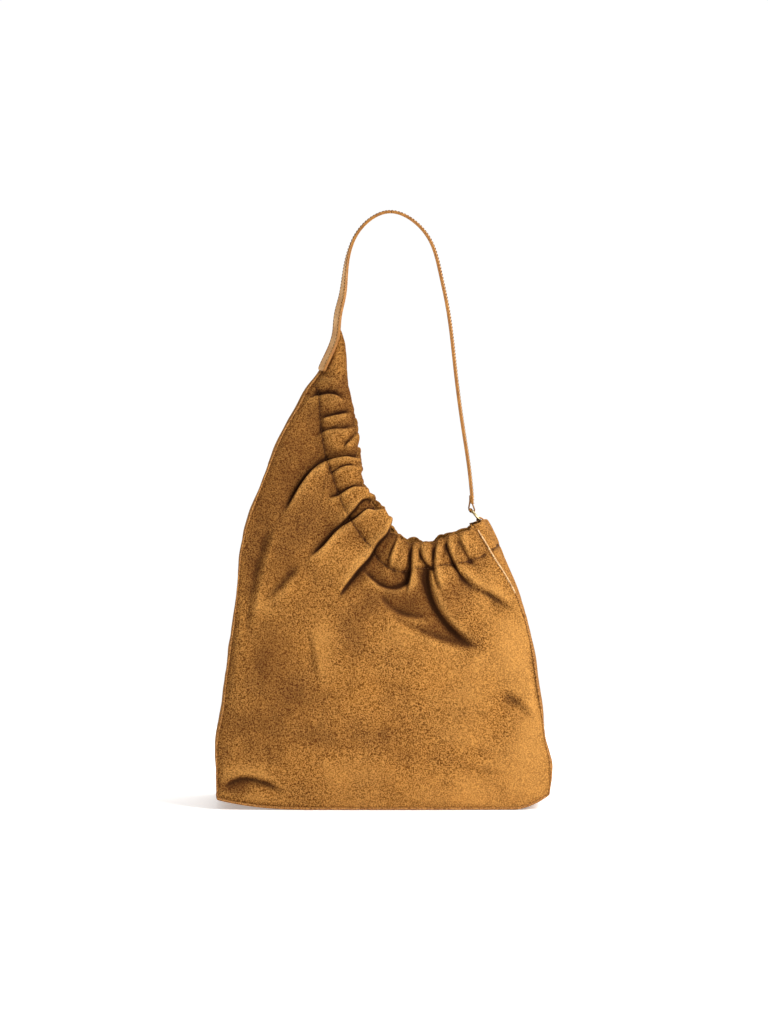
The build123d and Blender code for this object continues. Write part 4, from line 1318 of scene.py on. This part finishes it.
@dataclass
class Base:
    """The suede base, its stiffener, its lining and the binding round it."""

    shape: BagShape
    columns: int = 120
    rows: int = 40
    panel_thickness: float = 1.5
    board_thickness: float = 2.0
    lining_thickness: float = 0.6
    inset: float = 3.0          # the board and the lining end this far inside the base's rim
    binding_radius: float = 1.35

    def outline(self, inset: float, count: int) -> Array:
        """The base's rim seen from above, moved inward by inset, anticlockwise from the front left."""
        left, right, near, middle, far, left_bulge, right_bulge = self.shape.level(np.array(0.0))
        u = np.linspace(0, 1, count)
        x = left + inset + (right - left - 2 * inset) * u
        y = near * (1 - u) * (1 - 2 * u) + middle * 4 * u * (1 - u) + far * u * (2 * u - 1) - inset
        front = np.stack([x, -y], axis=1)
        side_u = np.linspace(0, 1, count // 3)
        out = 4 * side_u * (1 - side_u)
        right_side = np.stack([x[-1] + right_bulge * out, -y[-1] + 2 * y[-1] * side_u], axis=1)
        left_side = np.stack([x[0] - left_bulge * out, y[0] - 2 * y[0] * side_u], axis=1)
        return np.concatenate([front, right_side[1:], np.stack([x, y], axis=1)[::-1][1:], left_side[1:-1]])

    def slab(self, name: str, inset: float, bottom: float, thickness: float,
             finish: Finish) -> bpy.types.Object:
        """A thin slab of the base's outline that follows its lifted corners.

        Args:
            name: the piece's name.
            inset: how far inside the base's rim it ends.
            bottom: its underside over the floor.
            thickness: its thickness.
            finish: its finish.

        Returns:
            The slab.
        """
        left, right, near, middle, far, left_bulge, right_bulge = self.shape.level(np.array(0.0))
        v = np.linspace(-1, 1, self.rows)[:, None]
        u = np.linspace(0, 1, self.columns)[None, :]
        crown = 1 - v**2
        x_low = left + inset - left_bulge * crown
        x_high = right - inset + right_bulge * crown
        x = x_low + (x_high - x_low) * u
        y = v * (near * (1 - u) * (1 - 2 * u) + middle * 4 * u * (1 - u) + far * u * (2 * u - 1) - inset)
        z = bottom + self.shape.lift(x)
        upper = np.stack([x, y, z + thickness], axis=-1)
        lower = np.stack([x, y, z], axis=-1)
        return make_slab(name, upper, lower, [finish])

    def build(self) -> list[bpy.types.Object]:
        """Make the base's pieces.

        Returns:
            The pieces.
        """
        panel_low, board_low, lining_low = (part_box(node)[0].z / MM for node in
                                            ("base_panel", "base_board", "base_lining"))
        panel = self.slab("base_suede_panel", 0.0, panel_low + 0.15, self.panel_thickness, SUEDE)
        board = self.slab("base_stiffener", self.inset, board_low + 0.1, self.board_thickness, BOARD)
        lining = self.slab("base_cotton_lining", self.inset, lining_low + 0.3, self.lining_thickness, LINING)
        rim = self.outline(-1.4, 180)
        z = 1.6 + self.shape.lift(rim[:, 0])
        line = np.column_stack([rim, z])
        rings = cord_rings(line, self.binding_radius, 8, closed=True)
        rings = np.concatenate([rings, rings[:1]])
        binding = sweep("base_edge_piping", rings, [SEAM_SUEDE], capped=False)
        for piece, node, slot in ((panel, "base_panel", "suede"),
                                  (board, "base_board", "stiffener_board"),
                                  (lining, "base_lining", "lining_cloth"),
                                  (binding, "base_edge_binding", "suede")):
            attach(piece, "bag")
            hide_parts(node)
        return [panel, board, lining, binding]


# ---- Strap, ring and tab -------------------------------------------------------------------
# The strap's arch: shares of the way across from the sewn end to the ring, and of the rise from the ring
# to the crown.
ARCH = (
    (0.032, 0.706), (0.060, 0.791), (0.105, 0.876), (0.204, 0.954), (0.393, 1.000), (0.582, 0.961),
    (0.695, 0.893), (0.765, 0.791), (0.821, 0.666), (0.877, 0.452), (0.933, 0.248), (0.982, 0.088),
)


@dataclass
class Band:
    """A flat leather band of two sewn layers with painted edges."""

    width: float = 16.0
    thickness: float = 2.9
    edge_inset: float = 1.9     # stitches in from the band's edge
    corner: float = 0.45
    notch: float = 0.3          # the line between the two layers, seen on the edge

    def section(self) -> tuple[Array, Array]:
        """The band's section and which finish each strip of it takes (0 face, 1 backing, 2 edge)."""
        w, t, c = self.width / 2, self.thickness / 2, self.corner
        half = [(-w + c, t), (-w / 2, t + 0.12), (0, t + 0.15), (w / 2, t + 0.12), (w - c, t),
                (w - c * 0.3, t - c * 0.3), (w, t - c), (w, 0.3), (w - self.notch, 0.0)]
        lower = [(x, -y) for x, y in half[::-1][1:]]
        right = half + lower
        left = [(-w + c * 0.3, -t + c * 0.3), (-w, -t + c), (-w, -0.3), (-w + self.notch, 0.0), (-w, 0.3),
                (-w, t - c), (-w + c * 0.3, t - c * 0.3)]
        points = np.array(right + left)
        after = np.roll(points, -1, axis=0)
        middle_y = (points[:, 1] + after[:, 1]) / 2
        on_edge = np.abs((points[:, 0] + after[:, 0]) / 2) > w - c * 1.05
        picks = np.where(on_edge, 2, np.where(middle_y > 0, 0, 1))
        return points, picks

    def frames(self, line: Array, twist: Array) -> tuple[Array, Array]:
        """Across and outward directions along a line near the middle plane.

        Args:
            line: places along the band's middle.
            twist: how far the band's face turns to the front, in radians.

        Returns:
            Across and outward unit vectors.
        """
        along = unit(np.gradient(line, axis=0))
        out = unit(np.stack([-along[:, 2], 0 * along[:, 0], along[:, 0]], axis=1))
        side = unit(np.cross(along, out))
        side = np.where(side[:, 1:2] < 0, -side, side)
        c, s = np.cos(twist)[:, None], np.sin(twist)[:, None]
        return c * side + s * out, c * out - s * side

    def build(self, name: str, line: Array, twist: Array, end_round: float = 0.0,
              stitched: bool = True) -> list[bpy.types.Object]:
        """Make a length of band and its two rows of stitches.

        Args:
            name: the piece's name.
            line: places along its middle.
            twist: how far its face turns to the front at each, in radians.
            end_round: radius of the corners at its first end, or 0 for a plain end.
            stitched: sew along both edges.

        Returns:
            The pieces.
        """
        points, picks = self.section()
        across, out = self.frames(line, twist)
        run = run_along(line)
        narrow = np.zeros_like(run)
        if end_round > 0:
            rest = np.clip(end_round - run, 0, end_round)
            narrow = end_round - np.sqrt(np.maximum(end_round**2 - rest**2, 0.02))
        scale = (self.width / 2 - narrow) / (self.width / 2)
        rings = (line[:, None, :] + points[None, :, 0:1] * scale[:, None, None] * across[:, None, :]
                 + points[None, :, 1:2] * out[:, None, :])
        body = sweep(name, rings, [STRAP_LEATHER, STRAP_BACKING, PAINTED_EDGE], picks)
        made = [body]
        if stitched:
            inset = self.width / 2 - self.edge_inset
            keep = run > (end_round * 0.8 if end_round else -1)
            for mark, label in ((-1, "near"), (1, "far")):
                row = line + across * (mark * inset) + out * (self.thickness / 2 + 0.16)
                sewing = StitchRow(thread=0.32, length=2.5)
                made.append(sewing.lay(f"{name}_{label}_stitches", row[keep], out[keep]))
        return made


@dataclass
class Strap:
    """The shoulder strap: sewn over the peak, arched, and folded round the ring."""

    band: Band = field(default_factory=Band)
    peak_twist: float = 0.42    # radians; the strap's face turns towards the front near the peak
    peak_shift: float = 12.5    # the sewn end sits this far towards the front
    peak_lean: float = 4.2      # its middle leans this far towards the mouth
    untwist: float = 84.0       # length over which the turn dies away

    def __post_init__(self) -> None:
        """Lay the strap's line through the frame's own joints."""
        peak_box, stem_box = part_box("strap_peak_end"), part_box("strap_ring_end")
        self.peak_joint = np.array([peak_box[1].x / MM - 2.6, 0.0, peak_box[1].z / MM - 1.2])
        ring_low, ring_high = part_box("ring")
        self.ring_joint = np.array([(ring_low.x + ring_high.x) / 2 / MM - 4.7, 0.0, stem_box[1].z / MM + 0.2])
        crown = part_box("strap_leather")[1].z / MM - 1.4
        arch = [[self.peak_joint[0] + a * (self.ring_joint[0] - self.peak_joint[0]), 0.0,
                 self.ring_joint[2] + b * (crown - self.ring_joint[2])] for a, b in ARCH]
        sewn = [[-63.4, 0.0, 451.0], [-56.4, 0.0, 469.5], [-52.6, 0.0, 486.0]]
        self.line = SmoothLine(sewn + [self.peak_joint.tolist()] + arch + [self.ring_joint.tolist()])
        share = np.linspace(0, 1, 900)
        places = self.line.at(share)
        self.joint_share = float(share[np.argmin(np.abs(places[:450, 2] - self.peak_joint[2]))])
        self.crown_share = float(share[np.argmax(places[:, 2])])

    def stretch(self, first: float, last: float, count: int) -> tuple[Array, Array]:
        """Places and twists between two shares of the line."""
        share = np.linspace(first, last, count)
        places = self.line.at(share)
        past = share * self.line.length() - self.joint_share * self.line.length()
        fall = 1 - ease(0.0, self.untwist, past)
        places[:, 1] -= self.peak_shift * (1 - ease(-20.0, 84.0, past)) + 3.0 * (1 - ease(-60.0, -20.0, past))
        places[:, 0] += self.peak_lean * (1 - ease(10.0, 96.0, past)) * ease(-56.0, -14.0, past)
        places[:, 0] += 1.6 * ease(10.0, 96.0, past) * (1 - ease(150.0, 240.0, past))
        return places, self.peak_twist * (0.18 + 0.82 * fall)

    def build(self) -> list[bpy.types.Object]:
        """Make the strap's two halves and its two sewn ends.

        Returns:
            The pieces.
        """
        made = []
        left_line, left_twist = self.stretch(self.joint_share, self.crown_share, 150)
        right_line, right_twist = self.stretch(self.crown_share, 1.0, 170)
        left = self.band.build("strap_left_half", left_line, left_twist)
        right = self.band.build("strap_right_half", right_line, right_twist)
        for piece in left:
            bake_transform(piece)
        for piece in right:
            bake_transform(piece)
        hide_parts("strap_leather", "strap_backing")
        end_line, end_twist = self.stretch(0.0, self.joint_share, 40)
        sewn = self.band.build("strap_end_on_peak", end_line, end_twist, end_round=3.0)
        for piece in sewn:
            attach(piece, "bag")
        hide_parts("strap_peak_end")
        made += left + right + sewn + self.build_ring_fold() + self.build_tab()
        return made

    def build_ring_fold(self) -> list[bpy.types.Object]:
        """The strap's end folded round the ring, with its tail sewn to the strap."""
        tip = self.ring_joint
        path = [(tip[0] - 2.2, 321.0), (tip[0] - 2.3, 315.0), (90.6, 310.5), (90.3, 306.8), (91.7, 304.2),
                (94.1, 303.3), (95.9, 304.8), (95.7, 307.6), (94.6, 310.6), (tip[0] + 0.2, 314.6),
                (tip[0], tip[2])]
        line = SmoothLine([(x, 0.0, z) for x, z in path]).at(np.linspace(0, 1, 80))
        fold_band = Band(width=self.band.width, thickness=1.15, corner=0.3, notch=0.0)
        waist = 1 - 0.34 * (1 - ease(303.0, 316.0, line[:, 2]))
        pieces = self.folded(fold_band, "strap_fold_on_ring", line, waist)
        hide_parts("strap_ring_end")
        stem = np.linspace([tip[0] + 0.1, 0.0, 312.5], [tip[0], 0.0, tip[2]], 8)
        collar = self.folded(Band(width=self.band.width, thickness=2.8), "strap_stem_at_ring", stem)
        rows = []
        for height in (313.0, 316.5):
            across = np.linspace([tip[0] + 1.75, -6.0, height], [tip[0] + 1.75, 6.0, height], 12)
            rows.append(StitchRow(pitch=3.2).lay(f"strap_fold_stitches_{int(height)}", across,
                                                 np.tile([1.0, 0, 0], (12, 1))))
        for piece in rows:
            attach(piece, "bag")
        return pieces + collar + rows

    def folded(self, band: Band, name: str, line: Array,
               waist: Optional[Array] = None) -> list[bpy.types.Object]:
        """Make a band that follows a fold in the middle plane, without a twist.

        Args:
            band: its section.
            name: the piece's name.
            line: places along its middle.
            waist: its width at each place, as a share of the band's.

        Returns:
            The band, in a list.
        """
        along = unit(np.gradient(line, axis=0))
        out = np.stack([-along[:, 2], 0 * along[:, 0], along[:, 0]], axis=1)
        points, picks = band.section()
        across = np.tile([0.0, 1.0, 0.0], (len(line), 1))
        wide = np.ones(len(line)) if waist is None else waist
        rings = (line[:, None, :] + points[None, :, 0:1] * (across * wide[:, None])[:, None, :]
                 + points[None, :, 1:2] * out[:, None, :])
        piece = sweep(name, rings, [STRAP_LEATHER, STRAP_BACKING, PAINTED_EDGE], picks)
        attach(piece, "bag")
        return [piece]

    def build_tab(self) -> list[bpy.types.Object]:
        """The leather tab that holds the ring inside the hem."""
        path = [(115.1, 267.4), (110.4, 278.0), (105.6, 287.2), (102.0, 290.5), (99.2, 293.4), (99.6, 297.6),
                (103.6, 297.2), (106.4, 293.6), (107.8, 288.0), (112.0, 278.6), (116.7, 268.0)]
        line = SmoothLine([(x, 0.0, z) for x, z in path]).at(np.linspace(0, 1, 90))
        pieces = self.folded(Band(width=15.6, thickness=1.4, corner=0.3, notch=0.0), "ring_leather_tab", line)
        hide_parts("ring_tab")
        return pieces


# ---- Pocket, zip and metal -----------------------------------------------------------------
@dataclass
class Pocket:
    """The hanging inner pocket with its zip."""

    sag: float = 1.1
    coil_turn: float = 1.15
    coil_wire: float = 0.30
    seed: int = 77

    def build(self) -> list[bpy.types.Object]:
        """Make the pouch, its tapes and its two rows of coil.

        Returns:
            The pieces.
        """
        return [self.build_pouch(), *self.build_tapes(), *self.build_coils()]

    def build_pouch(self) -> bpy.types.Object:
        """The cotton pouch, open along the zip's slot."""
        low, high = (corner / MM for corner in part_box("inner_pocket"))
        coil_low, coil_high = (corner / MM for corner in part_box("zip_coils"))
        slot_x, slot_z = (coil_low.x - 2.0, coil_high.x + 2.0), (coil_low.z - 2.0, coil_high.z + 2.0)
        xs = np.unique(np.concatenate([np.linspace(low.x, high.x, 57), slot_x]))
        zs = np.unique(np.concatenate([np.linspace(low.z, high.z, 49), slot_z]))
        x, z = np.meshgrid(xs, zs)
        lumps = Unevenness(self.seed)
        rim = np.minimum(np.minimum(x - low.x, high.x - x), np.minimum(z - low.z, high.z - z))
        ease_in = ease(0.0, 14.0, rim)
        wave = 0.35 * lumps.layered(x, z, 32.0, 3) * ease_in
        away = 1 - bell(z - (slot_z[0] + slot_z[1]) / 2, 9.0)
        front = np.stack([x, low.y + 0.1 - self.sag * ease_in * away + wave * away, z], axis=-1)
        back = np.stack([x, high.y - 0.1 + 0.25 * wave, z], axis=-1)
        rows, columns = x.shape
        faces = grid_faces(rows, columns)
        middle_x = (x[:-1, :-1] + x[1:, 1:]).ravel() / 2
        middle_z = (z[:-1, :-1] + z[1:, 1:]).ravel() / 2
        in_slot = ((middle_x > slot_x[0]) & (middle_x < slot_x[1])
                   & (middle_z > slot_z[0]) & (middle_z < slot_z[1]))
        behind = faces[:, ::-1] + rows * columns
        faces = np.concatenate([faces[~in_slot], behind, border_walls(rows, columns)])
        points = np.concatenate([front.reshape(-1, 3), back.reshape(-1, 3)])
        pouch = make_object("inner_pocket_pouch", points, faces, [LINING])
        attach(pouch, "bag")
        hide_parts("inner_pocket")
        return pouch

    def build_tapes(self) -> list[bpy.types.Object]:
        """The zip's two tapes."""
        low, high = (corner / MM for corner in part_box("zip_tapes"))
        coil_low, coil_high = (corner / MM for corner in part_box("zip_coils"))
        middle = (low.z + high.z) / 2
        x = np.linspace(low.x, high.x, 90)
        made = []
        for mark, label in ((1, "upper"), (-1, "lower")):
            edge, rim = middle + mark * 0.75, middle + mark * (high.z - middle)
            z = np.linspace(edge, rim, 8)
            xx, zz = np.meshgrid(x, z)
            rib = 0.05 * np.sin(xx * 2.4)
            near = np.stack([xx, low.y + 0.02 + rib * 0.5, zz], axis=-1)
            far = np.stack([xx, high.y - 0.02 + 0 * xx, zz], axis=-1)
            tape = make_slab(f"zip_{label}_tape", near, far, [ZIP_TAPE], flip=mark < 0)
            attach(tape, "bag")
            made.append(tape)
        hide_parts("zip_tapes")
        return made

    def build_coils(self) -> list[bpy.types.Object]:
        """Two rows of wound nylon coil."""
        low, high = (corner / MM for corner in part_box("zip_coils"))
        middle_y, middle_z = (low.y + high.y) / 2, (low.z + high.z) / 2
        made = []
        for mark, label in ((1, "upper"), (-1, "lower")):
            turns = (high.x - low.x) / self.coil_turn
            turn = np.linspace(0, 2 * math.pi * turns, int(turns * 9))
            x = np.linspace(low.x, high.x, len(turn))
            y = middle_y + 0.42 * np.sin(turn)
            z = middle_z + mark * (1.45 + 0.42 * np.cos(turn))
            wire = cord_rings(np.stack([x, y, z], axis=1), self.coil_wire, 5)
            coil = sweep(f"zip_{label}_coil", wire, [ZIP_NYLON])
            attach(coil, "bag")
            made.append(coil)
        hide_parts("zip_coils")
        return made


@dataclass
class MetalParts:
    """The ring, the snap and the zip's metal parts, kept as the frame has them."""

    nodes: tuple[str, ...] = ("ring", "snap_socket", "snap_stud", "zip_stops", "zip_slider", "zip_pull")

    def dress(self) -> None:
        """Give each its plating."""
        for node in self.nodes:
            piece = next(o for o in bpy.data.objects if o.get("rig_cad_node") == node or o.name == node)
            for place in piece.material_slots:
                place.material = METAL.material()


# ---- Studio --------------------------------------------------------------------------------
@dataclass
class Studio:
    """A white floor, soft light from the upper right and a long lens nearly level with the bag."""

    target: tuple[float, float, float] = (0.0016, 0.0, 0.3038)
    view_height: float = 1.0698      # what the frame's height takes in at the bag
    lens: float = 100.0
    sensor: float = 36.0
    rise_deg: float = 1.7
    floor_glow: float = 0.30         # lifts the paper's shadows, as a lit table does

    def build(self) -> None:
        """Make the floor, the lights and the camera."""
        self.build_floor()
        self.build_lights()
        self.build_camera()

    def build_floor(self) -> None:
        """A matt white floor."""
        floor_mesh = bpy.data.meshes.new("studio_floor")
        wide, near, far = 1.5, -1.45, 0.75
        corners = [(-wide, near, 0), (wide, near, 0), (wide, far, 0), (-wide, far, 0)]
        floor_mesh.from_pydata(corners, [], [(0, 1, 2, 3)])
        paint = bpy.data.materials.new("White_paper_sweep")
        paint.use_nodes = True
        shader = paint.node_tree.nodes["Principled BSDF"]
        shader.inputs["Base Color"].default_value = linear("#F7F6F4")
        shader.inputs["Roughness"].default_value = 0.9
        shader.inputs["Emission Color"].default_value = linear("#FFFFFF")
        shader.inputs["Emission Strength"].default_value = self.floor_glow
        floor_mesh.materials.append(paint)
        floor = bpy.data.objects.new("studio_floor", floor_mesh)
        bpy.context.scene.collection.objects.link(floor)

    def build_lights(self) -> None:
        """A bright room behind, a soft key from the upper right and a weak fill from the left."""
        scene = bpy.context.scene
        world = bpy.data.worlds.new("studio_room")
        scene.world = world
        world.use_nodes = True
        tree = world.node_tree
        tree.nodes.clear()
        place = add(tree, "TexCoord").outputs["Generated"]
        parts = add(tree, "SeparateXYZ", {0: place})
        depth = add(tree, "MapRange", {"Value": parts.outputs["Y"], "From Min": -0.55, "From Max": 0.25})
        tone = layer(tree, depth.outputs["Result"], (0.13, 0.13, 0.14, 1), (1.0, 1.0, 1.0, 1))
        sky = add(tree, "Background", {"Color": tone, "Strength": 1.02})
        add(tree, "OutputWorld", {"Surface": sky.outputs[0]})
        self.soft_box("key_light", (1.25, -1.05, 1.25), 0.75, 52.0)
        self.soft_box("fill_light", (-1.6, -2.1, 0.9), 1.6, 8.0)
        self.soft_box("top_light", (0.3, 0.2, 2.3), 1.4, 14.0)
        scene.view_settings.view_transform = "Standard"

    def soft_box(self, name: str, place: tuple[float, float, float], size: float, power: float) -> None:
        """Hang one square soft light aimed at the bag.

        Args:
            name: the light's name.
            place: where it hangs, in metres.
            size: its side in metres.
            power: its power in watts.
        """
        lamp = bpy.data.lights.new(name, "AREA")
        lamp.size, lamp.energy = size, power
        holder = bpy.data.objects.new(name, lamp)
        holder.location = place
        aim = Vector((0.0, 0.0, 0.26)) - Vector(place)
        holder.rotation_euler = aim.to_track_quat("-Z", "Y").to_euler()
        bpy.context.scene.collection.objects.link(holder)

    def build_camera(self) -> None:
        """A long lens at the bag's own height, a little above level."""
        lens = bpy.data.cameras.new("studio_camera")
        lens.lens, lens.sensor_width = self.lens, self.sensor
        distance = self.lens * self.view_height / self.sensor
        rise = math.radians(self.rise_deg)
        camera = bpy.data.objects.new("studio_camera", lens)
        target = Vector(self.target)
        camera.location = target + Vector((0, -math.cos(rise), math.sin(rise))) * distance
        camera.rotation_euler = (target - camera.location).to_track_quat("-Z", "Y").to_euler()
        bpy.context.scene.collection.objects.link(camera)
        bpy.context.scene.camera = camera


def main() -> None:
    """Build and dress the bag piece by piece, then the studio round it."""
    logging.basicConfig(level=logging.INFO, format="%(name)s: %(message)s")
    Studio().build()
    shape = BagShape()
    makers = (
        Panel(shape, Face.FRONT, FRONT_FOLDS, 11), Panel(shape, Face.BACK, BACK_FOLDS, 23),
        Gusset(shape, -1, 31), Gusset(shape, 1, 43), Seams(shape), Base(shape), Strap(), Pocket(),
    )
    for maker in makers:
        for piece in maker.build():
            LOG.info("%s: %d points", piece.name, len(piece.data.vertices))
    MetalParts().dress()


if __name__ == "__main__":
    main()
